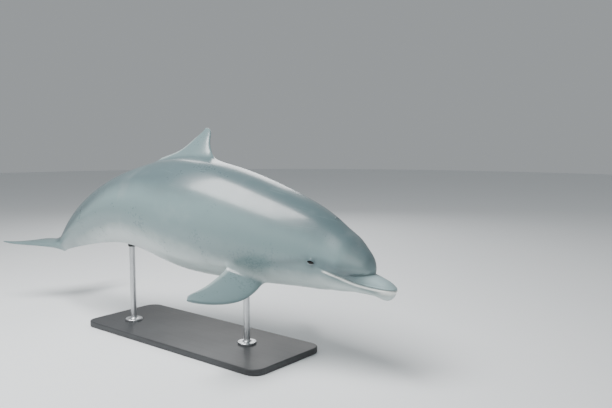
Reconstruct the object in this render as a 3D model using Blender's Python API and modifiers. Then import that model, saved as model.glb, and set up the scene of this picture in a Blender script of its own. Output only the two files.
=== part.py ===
"""Life-size bottlenose dolphin in a banked turn, held over a flat base by two rods.

The animal is modelled in body coordinates: s runs back from the beak's tip along the spine, y to the
animal's left and z up. Its skin is two superellipse sections about one centre, the barrel (forehead and
trunk) and the jaws, blended where they meet. The spine then turns, climbs and banks, and carries the
sections into the world. Fins are blades lofted between a leading and a trailing edge.
Metres, +Z up, +X towards the head. The origin is the middle of the base's underside.
"""
import math

import bmesh
import bpy
import numpy as np
from mathutils import Vector

# ---- the whole animal ----
NOTCH_AT = 2.50                     # length from the beak's tip to the fluke notch
GAP = 0.0004                        # between touching pieces
HOLD_AT = 1.05                      # this station of the spine ...
HOLD_POINT = (0.08, 0.0, 0.62)      # ... lies here

# ---- the pose: degrees along the spine ----
HEADING = ((0.0, 6.0), (0.8, 5.5), (1.6, 5.5), (2.5, -25.5))                    # + turns to the left
CLIMB = ((0.0, -8.0), (0.6, -11.5), (1.2, -5.5), (1.9, 21.0), (2.5, 20.0))      # + climbs to the head
BANK = ((0.0, 1.0), (1.2, 11.5), (2.5, -1.0))                                   # + leans to the left

# ---- forehead and trunk: s, middle's level, rise above it, drop below it, half width, squareness ----
BARREL = (
    (0.106, 0.004, 0.084, 0.100, 0.096, 2.00),
    (0.120, 0.007, 0.090, 0.102, 0.096, 2.05),
    (0.165, 0.010, 0.099, 0.099, 0.097, 2.10),
    (0.220, 0.008, 0.122, 0.106, 0.115, 2.15),
    (0.300, 0.000, 0.164, 0.123, 0.129, 2.20),
    (0.380, 0.005, 0.192, 0.145, 0.148, 2.15),
    (0.500, 0.010, 0.218, 0.177, 0.178, 2.10),
    (0.650, 0.010, 0.241, 0.212, 0.208, 2.10),
    (0.850, 0.010, 0.261, 0.252, 0.229, 2.10),
    (1.050, 0.010, 0.265, 0.276, 0.233, 2.10),
    (1.250, 0.010, 0.242, 0.263, 0.217, 2.05),
    (1.500, 0.005, 0.197, 0.208, 0.169, 1.90),
    (1.750, 0.000, 0.160, 0.157, 0.109, 1.70),
    (2.000, 0.000, 0.121, 0.115, 0.064, 1.55),
    (2.200, 0.000, 0.082, 0.077, 0.040, 1.50),
    (2.350, 0.002, 0.049, 0.046, 0.028, 1.55),
    (2.450, 0.022, 0.022, 0.022, 0.018, 1.80),
)
MELON_START = 0.106                 # the crease between beak and forehead
MELON_DOME = 0.134                  # how far back the forehead takes to reach its full section
MELON_TAPER = 1.17                  # above 1 narrows its front, seen from above
MELON_SHELF = 0.203                 # its underside takes this far, and leaves the beak's shelf clear ...
MELON_UNDERCUT = 2.3                # ... the more, the larger this is

# ---- beak and jaws: s, mouth line's level, rise above it, drop below it, half width ----
JAWS = (
    (0.000, -0.040, 0.012, 0.058, 0.036),
    (0.030, -0.041, 0.024, 0.053, 0.041),
    (0.060, -0.043, 0.035, 0.046, 0.046),
    (0.088, -0.044, 0.042, 0.042, 0.052),
    (0.120, -0.043, 0.045, 0.045, 0.063),
    (0.165, -0.038, 0.046, 0.054, 0.082),
    (0.220, -0.026, 0.042, 0.079, 0.103),
    (0.290, -0.018, 0.030, 0.096, 0.121),
    (0.340, -0.018, 0.012, 0.094, 0.110),
)
JAW_SQUARENESS = 2.2
NOSE_ROUND = 0.045                  # length over which the beak's tip rounds off
JAW_END = 0.36                      # the jaws have run out into the throat here ...
JAW_FADE = 0.02                     # ... over this length
CREASE_BLEND = 0.006                # softness of the crease between the two sections

# ---- the point that each section is measured from ----
CENTRE = (
    (0.0, -0.042), (0.05, -0.043), (0.088, -0.040), (0.12, -0.030), (0.165, -0.016), (0.22, -0.003),
    (0.30, 0.005), (0.5, 0.010), (1.05, 0.010), (1.5, 0.005), (1.75, 0.0), (2.25, 0.0), (2.35, 0.002),
    (2.45, 0.022), (2.5, 0.036),
)
MAX_RADIUS = 0.5                    # no section reaches this far

# ---- where the body is parted ----
AROUND = 36                         # points round each section
NOSE_AT = 0.0002
BEAK_STATIONS = (0.0030, 0.0100, 0.0220, 0.0400, 0.0600, 0.0820)
MELON_STATIONS = (0.1080, 0.1120, 0.1195, 0.1300, 0.1450, 0.1650, 0.1900, 0.2200, 0.2550, 0.2900, 0.3200, 0.3420)
NECK_AT = 0.42
CHEST_AT = 0.54
LOIN_AT = 1.10
STOCK_AT = 1.62
STOCK_END = 2.455
LENGTHS = (
    ("neck", NECK_AT, CHEST_AT),
    ("trunk_front", CHEST_AT, LOIN_AT),
    ("trunk_rear", LOIN_AT, STOCK_AT),
    ("tail_stock", STOCK_AT, STOCK_END),
)
BODY_STEP = 0.058                   # between sections of neck, trunk and tail stock
MOUTH_END = 0.29                    # the corner of the mouth
JAW_BACK_AT = 0.235                 # the parting runs from the corner down to the throat here
MOUTH_CUT = 0.0010                  # height of the cut between the lips
CUT_REACH = 0.30                    # cutters reach this far past the head

# ---- eyes ----
EYE_AT = 0.340
EYE_LEVEL = -0.003
EYE_RADIUS = 0.0215
EYE_PROUD = 0.0040                  # how far the eyeball stands out of the skin

# ---- fins: points (back, out) of the leading and the trailing edge ----
DORSAL_LEADING = (
    (-0.089, -0.053), (0.0, 0.0), (0.040, 0.044), (0.081, 0.106), (0.107, 0.166), (0.132, 0.196), (0.158, 0.204),
)
DORSAL_TRAILING = (
    (0.407, -0.053), (0.354, 0.0), (0.279, 0.035), (0.221, 0.080), (0.186, 0.133), (0.163, 0.183), (0.164, 0.200),
)
DORSAL_AT = 1.068                   # front of the base
DORSAL_MIDDLE = 0.18                # the base's line is taken from the front to this far behind it
DORSAL_LEAN = 17.5                  # degrees to the left at the base ...
DORSAL_CURL = 0.31                  # ... and radians more, by bending, at the tip
DORSAL_THICK = (0.048, 0.009)       # at the base and at the tip

FLIPPER_LEADING = (
    (0.0, -0.055), (0.0, 0.0), (0.008, 0.093), (0.034, 0.184), (0.100, 0.288), (0.157, 0.349), (0.203, 0.386),
)
FLIPPER_TRAILING = (
    (0.167, -0.055), (0.171, 0.0), (0.174, 0.050), (0.183, 0.112), (0.194, 0.186), (0.212, 0.272), (0.221, 0.341),
    (0.212, 0.381),
)
FLIPPER_THICK = (0.036, 0.010)
# station and angle of the root, sweep, droop and feather in degrees, curl in radians
FLIPPER_RIGHT = {"at": 0.575, "angle": -64.0, "sweep": -16.0, "droop": 32.0, "feather": -20.0, "curl": -0.48}
FLIPPER_LEFT = {"at": 0.565, "angle": -54.0, "sweep": 6.0, "droop": 26.0, "feather": -10.0, "curl": -0.30}

FLUKE_LEADING = (
    (-0.067, 0.0), (-0.043, 0.029), (0.0, 0.072), (0.053, 0.135), (0.111, 0.212), (0.169, 0.279), (0.217, 0.313),
)
FLUKE_TRAILING = (
    (0.115, 0.0), (0.141, 0.019), (0.163, 0.058), (0.166, 0.116), (0.169, 0.183), (0.188, 0.250), (0.220, 0.308),
)
FLUKE_AT = 2.385
FLUKE_LOWER = 0.008                 # below the spine
FLUKE_FLEX = 30.0                   # degrees that the trailing edge is raised
FLUKE_DROOP = 4.0                   # degrees that each half hangs
FLUKE_THICK = (0.040, 0.007)

FIN_ROWS = 13                       # sections from a fin's root to its tip
FIN_SIDE = 8                        # points from the leading to the trailing edge
FIN_EDGE = 0.0012                   # half the thickness of the trailing edge

# ---- display stand ----
BASE_LENGTH = 1.24
BASE_WIDTH = 0.46
BASE_THICK = 0.030
BASE_CORNER = 0.060
BASE_CORNER_POINTS = 6
BASE_BEVEL = 0.004
ROD_RADIUS = 0.015
ROD_FOOT_RADIUS = 0.045
ROD_FOOT_HEIGHT = 0.010
ROD_FILLET = 0.012
ROD_FRONT_AT = 0.80                 # stations of the spine over the rods
ROD_REAR_AT = 1.56
ROD_SIDES = 20

SKIN_DARK = (0.100, 0.150, 0.170)
SKIN_MIDDLE = (0.250, 0.330, 0.345)
SKIN_PALE = (0.640, 0.700, 0.680)
EYE_DARK = (0.020, 0.016, 0.014)
BASE_COLOUR = (0.045, 0.048, 0.052)
STEEL_COLOUR = (0.560, 0.570, 0.580)


# ---- curves ----

def smooth_curve(rows):
    """A natural cubic through the rows (x, y), as a function of x."""
    x, y = np.array(rows, float).T
    step = np.diff(x)
    count = len(x)
    system = np.eye(count)
    load = np.zeros(count)
    for i in range(1, count - 1):
        system[i, i - 1:i + 2] = step[i - 1], 2 * (step[i - 1] + step[i]), step[i]
        load[i] = 6 * ((y[i + 1] - y[i]) / step[i] - (y[i] - y[i - 1]) / step[i - 1])
    curve = np.linalg.solve(system, load)

    def value(at):
        at = np.clip(np.asarray(at, float), x[0], x[-1])
        i = np.clip(np.searchsorted(x, at) - 1, 0, count - 2)
        left, right, h = at - x[i], x[i + 1] - at, step[i]
        arch = (curve[i] * right ** 3 + curve[i + 1] * left ** 3) / (6 * h)
        line = (y[i] / h - curve[i] * h / 6) * right + (y[i + 1] / h - curve[i + 1] * h / 6) * left
        return arch + line

    return value


def columns(table):
    """One curve along s for each further column of a table."""
    s, *rest = zip(*table)
    return [smooth_curve(list(zip(s, column))) for column in rest]


level, rise, drop, half_width, squareness = columns(BARREL)
mouth, jaw_rise, jaw_drop, jaw_width = columns(JAWS)
centre, heading, climb, bank = (smooth_curve(rows) for rows in (CENTRE, HEADING, CLIMB, BANK))


# ---- the skin in body coordinates ----

def dome(u):
    """A quarter circle: 0 at u = 0 with an upright start, and 1 from u = 1 on."""
    return np.sqrt(np.maximum(1 - (1 - np.clip(u, 0, 1)) ** 2, 0))


def reach(x, z, offset, width, up, down, power):
    """How far the ray (x, z) goes before it leaves a superellipse whose middle lies offset above its start."""
    width, up, down = (np.maximum(size, 1e-5) for size in (width, up, down))

    def inside(r):
        height = z * r - offset
        tall = np.where(height > 0, up, down)
        return (np.abs(x * r) / width) ** power + (np.abs(height) / tall) ** power <= 1

    steps = np.linspace(0, MAX_RADIUS, 101)
    near = np.zeros(np.broadcast(x, z, offset).shape)
    for r in steps:
        near = np.where(inside(r), r, near)
    far = near + steps[1]
    hit = near > 0
    for _ in range(20):
        middle = (near + far) / 2
        keep = inside(middle)
        near, far = np.where(keep, middle, near), np.where(keep, far, middle)
    return np.where(hit, near, 0)


def skin_radius(s, angle):
    """From the section's centre to the skin; the angle is 0 to the animal's left and 90 degrees upwards."""
    s, angle = np.broadcast_arrays(np.asarray(s, float), np.asarray(angle, float))
    x, z, c = np.cos(angle), np.sin(angle), centre(s)
    swell = dome((s - MELON_START) / MELON_DOME)
    wide, under = swell ** MELON_TAPER, dome((s - MELON_START) / MELON_SHELF) ** MELON_UNDERCUT
    barrel = reach(x, z, level(s) - c, half_width(s) * wide, rise(s) * swell, drop(s) * under, squareness(s))
    barrel = np.where(s > MELON_START, barrel, 0)
    ends = dome(s / NOSE_ROUND) ** 0.9 * dome((JAW_END - s) / JAW_FADE)
    jaws = reach(x, z, mouth(s) - c, jaw_width(s) * ends, jaw_rise(s) * ends, jaw_drop(s) * ends, JAW_SQUARENESS)
    blend = 0.5 * (barrel + jaws + np.hypot(barrel - jaws, CREASE_BLEND))
    return np.where(barrel <= 0, jaws, np.where(jaws <= 0, barrel, blend))


# ---- the spine ----

TRACK_STEP = 0.0025
TRACK = np.arange(0, NOTCH_AT + TRACK_STEP / 2, TRACK_STEP)


def directions(s):
    """Unit vectors forward, to the left and up at s."""
    turn, pitch, roll = (np.radians(curve(s)) for curve in (heading, climb, bank))
    forward = np.stack([np.cos(pitch) * np.cos(turn), np.cos(pitch) * np.sin(turn), np.sin(pitch)], -1)
    level_left = np.stack([-np.sin(turn), np.cos(turn), 0 * turn], -1)
    level_up = np.cross(forward, level_left)
    cos, sin = np.cos(roll)[..., None], np.sin(roll)[..., None]
    return forward, level_left * cos - level_up * sin, level_up * cos + level_left * sin


def spine_track():
    """Points of the spine, from adding up its forward directions."""
    forward = directions(TRACK)[0]
    path = np.vstack([np.zeros(3), -np.cumsum((forward[1:] + forward[:-1]) / 2 * TRACK_STEP, axis=0)])
    held = int(round(HOLD_AT / TRACK_STEP))
    return path - path[held] + np.array(HOLD_POINT)


PATH = spine_track()


def spine_frame(s):
    """The spine's point at s, with the unit vectors forward, left and up."""
    s = np.asarray(s, float)
    point = np.stack([np.interp(s, TRACK, PATH[:, axis]) for axis in range(3)], -1)
    return (point, *directions(s))


def place(s, y, z):
    """World position of a point in body coordinates."""
    point, _, left, up = spine_frame(s)
    return point + left * np.asarray(y, float)[..., None] + up * np.asarray(z, float)[..., None]


def skin_point(s, angle, grow=0.0):
    """World position of the skin at a station and an angle, or of a point that far outside it."""
    radius = skin_radius(s, angle) + grow
    return place(s, radius * np.cos(angle), centre(s) + radius * np.sin(angle))


# ---- meshes ----

def add_object(name, mesh, collection):
    thing = bpy.data.objects.new(name, mesh)
    collection.objects.link(thing)
    return thing


def loft(name, rings, collection):
    """A closed mesh over rings of equally many points, with a flat cap on each end."""
    rows, around = rings.shape[:2]
    net = bmesh.new()
    points = [[net.verts.new(Vector(point)) for point in ring] for ring in rings]
    for near, far in zip(points, points[1:]):
        for j in range(around):
            k = (j + 1) % around
            net.faces.new((near[j], near[k], far[k]))
            net.faces.new((near[j], far[k], far[j]))
    net.faces.new(points[0][::-1])
    net.faces.new(points[-1])
    bmesh.ops.recalc_face_normals(net, faces=net.faces)
    mesh = bpy.data.meshes.new(name)
    net.to_mesh(mesh)
    net.free()
    mesh.shade_smooth()
    mesh.set_sharp_from_angle(angle=math.radians(50))
    return add_object(name, mesh, collection)


def body_rings(stations, grow=0.0):
    s, angle = np.meshgrid(stations, np.linspace(0, 2 * math.pi, AROUND, endpoint=False), indexing="ij")
    return skin_point(s, angle, grow)


def stations_between(start, end):
    """Evenly spaced stations, half a gap inside the two partings."""
    count = max(2, round((end - start) / BODY_STEP) + 1)
    return np.linspace(start + GAP / 2, end - GAP / 2, count)


def apply_boolean(piece, cutter, operation):
    """Cut a piece with another now, and keep the result as its mesh."""
    modifier = piece.modifiers.new(operation.title(), "BOOLEAN")
    modifier.operation = operation
    modifier.solver = "EXACT"
    modifier.object = cutter
    bpy.context.view_layer.update()
    evaluated = piece.evaluated_get(bpy.context.evaluated_depsgraph_get())
    mesh = bpy.data.meshes.new_from_object(evaluated)
    piece.modifiers.remove(modifier)
    piece.data = mesh


def hide_cutter(cutter):
    cutter.hide_render = True
    cutter.display_type = "WIRE"


# ---- the body ----

def add_body(parts, cutters):
    """Beak, head and jaw from one loft parted by cutters, and the lengths behind them."""
    front = np.array((NOSE_AT, *BEAK_STATIONS, MELON_START - GAP / 2))
    rear = np.array((MELON_START + GAP / 2, *MELON_STATIONS, JAW_END, NECK_AT - GAP / 2))
    whole = np.concatenate([front, rear])
    jaw = loft("lower_jaw", body_rings(whole), parts)
    apply_boolean(jaw, jaw_block("jaw_keep", cutters, -MOUTH_CUT / 2), "INTERSECT")
    taken = jaw_block("jaw_take", cutters, MOUTH_CUT / 2)
    for name, stations in (("upper_beak", front), ("head", rear)):
        piece = loft(name, body_rings(stations), parts)
        apply_boolean(piece, taken, "DIFFERENCE")
    for name, start, end in LENGTHS:
        loft(name, body_rings(stations_between(start, end)), parts)


def jaw_block(name, cutters, offset):
    """All that lies below the mouth line, back to a parting that slants from its corner to the throat."""
    corner = MOUTH_END + offset
    stations = np.concatenate([[-0.02], np.linspace(0.0, corner, 15)])
    lean = (MOUTH_END - JAW_BACK_AT) / (jaw_drop(MOUTH_END) + 0.02)
    rings = []
    for s in stations:
        top = float(mouth(max(s, 0))) + offset
        share = (s + 0.02) / (corner + 0.02)
        low = s - lean * CUT_REACH * share
        edge = [(s, -CUT_REACH, top), (s, CUT_REACH, top), (low, CUT_REACH, top - CUT_REACH),
                (low, -CUT_REACH, top - CUT_REACH)]
        rings.append([straight_place(*corner_point) for corner_point in edge])
    block = loft(name, np.array(rings), cutters)
    hide_cutter(block)
    return block


def straight_place(s, y, z):
    """Like place, but also for points in front of the beak."""
    if s >= 0:
        return place(s, y, z)
    point, forward, left, up = spine_frame(0.0)
    return point - forward * s + left * y + up * z


def eye_centre(side):
    """Middle of the eyeball, inside the skin along the skin's normal; the side is +1 on the left."""
    angle = math.pi / 2 - side * (math.pi / 2 - eye_angle())
    step = 0.004
    here = skin_point(EYE_AT, angle)
    along = skin_point(EYE_AT + step, angle) - skin_point(EYE_AT - step, angle)
    about = skin_point(EYE_AT, angle + step) - skin_point(EYE_AT, angle - step)
    normal = np.cross(along, about)
    normal *= np.sign(normal @ (here - spine_frame(EYE_AT)[0])) / np.linalg.norm(normal)
    return here - normal * (EYE_RADIUS - EYE_PROUD)


def eye_angle():
    """The angle, on the left, at which the skin is at the eye's level."""
    angles = np.radians(np.linspace(-40, 40, 321))
    heights = centre(EYE_AT) + skin_radius(EYE_AT, angles) * np.sin(angles)
    return float(np.interp(EYE_LEVEL, heights, angles))


def add_ball(name, middle, radius, collection):
    bpy.ops.mesh.primitive_uv_sphere_add(segments=16, ring_count=10, radius=radius, location=middle)
    ball = bpy.context.active_object
    ball.name = name
    ball.data.name = name
    ball.data.shade_smooth()
    for other in list(ball.users_collection):
        other.objects.unlink(ball)
    collection.objects.link(ball)
    return ball


def add_eyes(parts, cutters):
    head = parts.objects["head"]
    for name, side in (("eye_left", 1), ("eye_right", -1)):
        middle = eye_centre(side)
        socket = add_ball(name + "_socket", middle, EYE_RADIUS + GAP, cutters)
        hide_cutter(socket)
        apply_boolean(head, socket, "DIFFERENCE")
        add_ball(name, middle, EYE_RADIUS, parts)


# ---- fins ----

def edge_curve(points, t):
    """A smooth line through points (back, out), read at shares t of its length."""
    points = np.array(points)
    run = np.concatenate([[0], np.cumsum(np.linalg.norm(np.diff(points, axis=0), axis=1))])
    run /= run[-1]
    return np.stack([smooth_curve(list(zip(run, points[:, axis])))(t) for axis in range(2)], -1)


def aerofoil(count):
    """Shares of the chord and half thicknesses round a section, leading edge first."""
    c = 0.5 * (1 - np.cos(np.linspace(0, math.pi, count)))
    half = 5 * (0.2969 * np.sqrt(c) - 0.1260 * c - 0.3516 * c ** 2 + 0.2843 * c ** 3 - 0.1015 * c ** 4)
    return np.concatenate([c, c[-2:0:-1]]), np.concatenate([half, -half[-2:0:-1]])


def blade(leading, trailing, thick):
    """Rings of points (back, out, aside) from a fin's root to its tip."""
    t = np.linspace(0, 1, FIN_ROWS)
    front, back = edge_curve(leading, t), edge_curve(trailing, t)
    chord, half = aerofoil(FIN_SIDE)
    depth = thick[1] + (thick[0] - thick[1]) * (1 - t) ** 1.3
    flat = front[:, None] + (back - front)[:, None] * chord[None, :, None]
    aside = half[None] * depth[:, None] + np.sign(half)[None] * FIN_EDGE * (chord > 0)
    return np.concatenate([flat, aside[..., None]], -1)


def mount_blade(rings, root, back, out, aside, curl):
    """Set a blade on its root; curl is the angle, in radians, that it bends towards aside by its tip."""
    u, v, w = rings[..., 0:1], rings[..., 1:2], rings[..., 2:3]
    radius = rings[..., 1].max() / curl
    turn = np.maximum(v, 0) / radius
    along = np.where(v > 0, radius * np.sin(turn), v) - w * np.sin(turn)
    lift = np.where(v > 0, radius * (1 - np.cos(turn)), 0) + w * np.cos(turn)
    return root + u * back + along * out + lift * aside


def unit(vector):
    return vector / np.linalg.norm(vector)


def dorsal_rings():
    root = place(DORSAL_AT, 0.0, level(DORSAL_AT) + rise(DORSAL_AT))
    behind = DORSAL_AT + DORSAL_MIDDLE
    back = unit(place(behind, 0.0, level(behind) + rise(behind)) - root)
    _, _, left, up = spine_frame(behind)
    upright = unit(up - (up @ back) * back)
    aside = unit(left - (left @ back) * back)
    lean = math.radians(DORSAL_LEAN)
    out = upright * math.cos(lean) + aside * math.sin(lean)
    leaning_aside = aside * math.cos(lean) - upright * math.sin(lean)
    rings = blade(DORSAL_LEADING, DORSAL_TRAILING, DORSAL_THICK)
    return mount_blade(rings, root, back, out, leaning_aside, DORSAL_CURL)


def flipper_rings(hold, side):
    """A flipper; the side is +1 on the left and -1 on the right."""
    at, angle = hold["at"], math.radians(hold["angle"])
    root = skin_point(at, math.pi / 2 - side * (math.pi / 2 - angle))
    _, forward, left, up = spine_frame(at)
    droop, sweep, feather = (math.radians(hold[key]) for key in ("droop", "sweep", "feather"))
    outward = math.cos(droop) * side * left - math.sin(droop) * up
    out = math.cos(sweep) * outward - math.sin(sweep) * forward
    flat_back = unit(-forward + (forward @ out) * out)
    flat_aside = side * np.cross(flat_back, out)
    back = flat_back * math.cos(feather) + flat_aside * math.sin(feather)
    aside = flat_aside * math.cos(feather) - flat_back * math.sin(feather)
    rings = blade(FLIPPER_LEADING, FLIPPER_TRAILING, FLIPPER_THICK)
    return mount_blade(rings, root, back, out, aside, hold["curl"])


def fluke_rings(side):
    """Half of the flukes, from the middle plane out; the side is +1 on the left."""
    point, forward, left, up = spine_frame(FLUKE_AT)
    flex, droop = math.radians(FLUKE_FLEX), math.radians(FLUKE_DROOP)
    back = up * math.sin(flex) - forward * math.cos(flex)
    upper = up * math.cos(flex) + forward * math.sin(flex)
    out = side * left * math.cos(droop) - upper * math.sin(droop)
    aside = upper * math.cos(droop) + side * left * math.sin(droop)
    root = point - up * FLUKE_LOWER + side * left * GAP
    rings = blade(FLUKE_LEADING, FLUKE_TRAILING, FLUKE_THICK)
    u, v, w = rings[..., 0:1], rings[..., 1:2], rings[..., 2:3]
    points = root + u * back + v * out + w * aside
    points[0] -= ((points[0] - root) @ (side * left))[:, None] * side * left
    return points


def add_fins(parts, cutters):
    stations = np.concatenate([stations_between(start, end) for _, start, end in LENGTHS])
    stations[-1] = STOCK_END + GAP
    carrier = loft("body_grown", body_rings(stations, GAP), cutters)
    hide_cutter(carrier)
    fins = {
        "dorsal_fin": dorsal_rings(),
        "flipper_left": flipper_rings(FLIPPER_LEFT, 1),
        "flipper_right": flipper_rings(FLIPPER_RIGHT, -1),
        "fluke_left": fluke_rings(1),
        "fluke_right": fluke_rings(-1),
    }
    for name, rings in fins.items():
        apply_boolean(loft(name, rings, parts), carrier, "DIFFERENCE")
    return carrier


# ---- display stand ----

def add_base(parts):
    """A flat slab with rounded corners and softened edges, its underside at z = 0."""
    outline = bpy.data.curves.new("stand_base_outline", "CURVE")
    outline.dimensions = "2D"
    outline.fill_mode = "BOTH"
    outline.extrude = BASE_THICK / 2 - BASE_BEVEL
    outline.bevel_depth = BASE_BEVEL
    outline.bevel_resolution = 2
    spline = outline.splines.new("POLY")
    points = []
    for corner, (along, across) in enumerate(((1, 1), (-1, 1), (-1, -1), (1, -1))):
        for step in range(BASE_CORNER_POINTS):
            turn = math.pi / 2 * (corner + step / (BASE_CORNER_POINTS - 1))
            points.append((
                along * (BASE_LENGTH / 2 - BASE_CORNER) + (BASE_CORNER - BASE_BEVEL) * math.cos(turn),
                across * (BASE_WIDTH / 2 - BASE_CORNER) + (BASE_CORNER - BASE_BEVEL) * math.sin(turn),
            ))
    spline.points.add(len(points) - 1)
    for point, (x, y) in zip(spline.points, points):
        point.co = (x, y, 0, 1)
    spline.use_cyclic_u = True
    guide = bpy.data.objects.new("stand_base_outline", outline)
    parts.objects.link(guide)
    bpy.context.view_layer.update()
    mesh = bpy.data.meshes.new_from_object(guide.evaluated_get(bpy.context.evaluated_depsgraph_get()))
    bpy.data.objects.remove(guide)
    net = bmesh.new()
    net.from_mesh(mesh)
    bmesh.ops.remove_doubles(net, verts=net.verts, dist=1e-5)
    bmesh.ops.recalc_face_normals(net, faces=net.faces)
    net.to_mesh(mesh)
    net.free()
    base = add_object("stand_base", mesh, parts)
    base.location.z = BASE_THICK / 2
    return base


def rod_profile(height):
    """Half outline of a rod with its foot plate, from the top down its outer side."""
    profile = [(0.0, height), (ROD_RADIUS, height)]
    for step in range(6):
        turn = math.pi / 2 * step / 5
        profile.append((
            ROD_RADIUS + ROD_FILLET * (1 - math.cos(turn)),
            ROD_FOOT_HEIGHT + ROD_FILLET * (1 - math.sin(turn)),
        ))
    profile += [
        (ROD_FOOT_RADIUS - 0.002, ROD_FOOT_HEIGHT),
        (ROD_FOOT_RADIUS, ROD_FOOT_HEIGHT - 0.002),
        (ROD_FOOT_RADIUS, 0.0),
        (0.0, 0.0),
    ]
    return profile


def add_rod(name, at, parts, carrier):
    """A turned rod with a foot plate, standing on the base and cut to the belly that it holds."""
    top = spine_frame(at)[0]
    foot = BASE_THICK + GAP
    mesh = bpy.data.meshes.new(name)
    profile = rod_profile(top[2] - foot)
    mesh.from_pydata([(x, 0, z) for x, z in profile], [(i, i + 1) for i in range(len(profile) - 1)], [])
    rod = add_object(name, mesh, parts)
    rod.location = (top[0], top[1], foot)
    screw = rod.modifiers.new("Screw", "SCREW")
    screw.steps = screw.render_steps = ROD_SIDES
    screw.use_merge_vertices = True
    screw.merge_threshold = 0.0001
    apply_boolean(rod, carrier, "DIFFERENCE")
    rod.modifiers.clear()
    rod.data.shade_smooth()
    rod.data.set_sharp_from_angle(angle=math.radians(35))


# ---- finishes ----

def add_finishes(parts):
    finishes = {
        "upper_beak": (SKIN_MIDDLE, 0.34, 0.0),
        "lower_jaw": (SKIN_PALE, 0.34, 0.0),
        "head": (SKIN_MIDDLE, 0.34, 0.0),
        "neck": (SKIN_MIDDLE, 0.34, 0.0),
        "trunk_front": (SKIN_MIDDLE, 0.34, 0.0),
        "trunk_rear": (SKIN_MIDDLE, 0.34, 0.0),
        "tail_stock": (SKIN_MIDDLE, 0.34, 0.0),
        "dorsal_fin": (SKIN_DARK, 0.34, 0.0),
        "flipper_left": (SKIN_DARK, 0.34, 0.0),
        "flipper_right": (SKIN_DARK, 0.34, 0.0),
        "fluke_left": (SKIN_DARK, 0.34, 0.0),
        "fluke_right": (SKIN_DARK, 0.34, 0.0),
        "eye_left": (EYE_DARK, 0.06, 0.0),
        "eye_right": (EYE_DARK, 0.06, 0.0),
        "stand_base": (BASE_COLOUR, 0.45, 0.0),
        "stand_rod_front": (STEEL_COLOUR, 0.30, 1.0),
        "stand_rod_rear": (STEEL_COLOUR, 0.30, 1.0),
    }
    for name, (colour, roughness, metallic) in finishes.items():
        material = bpy.data.materials.new(name)
        material.use_nodes = True
        shader = material.node_tree.nodes["Principled BSDF"]
        shader.inputs["Base Color"].default_value = (*colour, 1)
        shader.inputs["Roughness"].default_value = roughness
        shader.inputs["Metallic"].default_value = metallic
        mesh = parts.objects[name].data
        mesh.materials.clear()
        mesh.materials.append(material)


def add_collection(name):
    collection = bpy.data.collections.new(name)
    bpy.context.scene.collection.children.link(collection)
    return collection


def main():
    for thing in list(bpy.data.objects):
        bpy.data.objects.remove(thing)
    parts = add_collection("bottlenose_dolphin")
    cutters = add_collection("cutters")
    add_body(parts, cutters)
    add_eyes(parts, cutters)
    carrier = add_fins(parts, cutters)
    add_base(parts)
    add_rod("stand_rod_front", ROD_FRONT_AT, parts, carrier)
    add_rod("stand_rod_rear", ROD_REAR_AT, parts, carrier)
    add_finishes(parts)


main()
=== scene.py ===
import math

import bmesh
import bpy
import numpy as np
from bpy.props import FloatProperty, FloatVectorProperty, PointerProperty
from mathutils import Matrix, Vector
from mathutils.bvhtree import BVHTree
from mathutils.kdtree import KDTree


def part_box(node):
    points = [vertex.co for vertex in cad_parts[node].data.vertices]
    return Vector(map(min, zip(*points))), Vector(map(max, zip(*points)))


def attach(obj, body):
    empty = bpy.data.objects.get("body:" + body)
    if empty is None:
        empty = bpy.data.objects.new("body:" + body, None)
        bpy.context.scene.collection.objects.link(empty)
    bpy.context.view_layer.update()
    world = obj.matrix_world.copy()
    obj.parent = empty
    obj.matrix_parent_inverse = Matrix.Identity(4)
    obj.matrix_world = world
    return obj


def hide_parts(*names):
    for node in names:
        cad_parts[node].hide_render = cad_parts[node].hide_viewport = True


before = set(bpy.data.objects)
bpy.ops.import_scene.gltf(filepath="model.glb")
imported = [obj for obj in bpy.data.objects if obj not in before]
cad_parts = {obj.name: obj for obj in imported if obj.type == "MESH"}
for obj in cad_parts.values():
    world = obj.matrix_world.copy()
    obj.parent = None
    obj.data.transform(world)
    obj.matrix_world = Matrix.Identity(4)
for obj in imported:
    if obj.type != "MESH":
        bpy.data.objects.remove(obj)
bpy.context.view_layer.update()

# A life-size bottlenose dolphin on a display stand: one skin over the solids of flesh, its eyes, the
# stand's finishes and the studio. The skin is made in body coordinates: s runs back from the beak's tip
# along the spine, y to the animal's left and z up. Metres.

bl_info = {
    "name": "Bottlenose Dolphin Display Model",
    "version": (1, 0, 0),
    "blender": (4, 5, 0),
    "location": "View3D > Sidebar > Dolphin",
    "description": "Dresses the dolphin's solids in one skin, with eyes, a display stand and a studio",
    "category": "Object",
}

FLESH = ("upper_beak", "lower_jaw", "head", "neck", "trunk_front", "trunk_rear", "tail_stock",
         "dorsal_fin", "flipper_left", "flipper_right", "fluke_left", "fluke_right")

# ---- the whole animal ----
NOTCH_AT = 2.50  # length from the beak's tip to the fluke notch
TRACK_STEP = 0.0025  # along the spine, which is added up from its directions
HOLD_AT = 1.05  # this station of the spine ...
HOLD_POINT = (0.08, 0.0, 0.62)  # ... lies here

# ---- the pose: degrees along the spine ----
HEADING = ((0.0, 6.0), (0.8, 5.5), (1.6, 5.5), (2.5, -25.5))  # + turns to the left
CLIMB = ((0.0, -8.0), (0.6, -11.5), (1.2, -5.5), (1.9, 21.0), (2.5, 20.0))  # + climbs to the head
BANK = ((0.0, 1.0), (1.2, 11.5), (2.5, -1.0))  # + leans to the left

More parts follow.
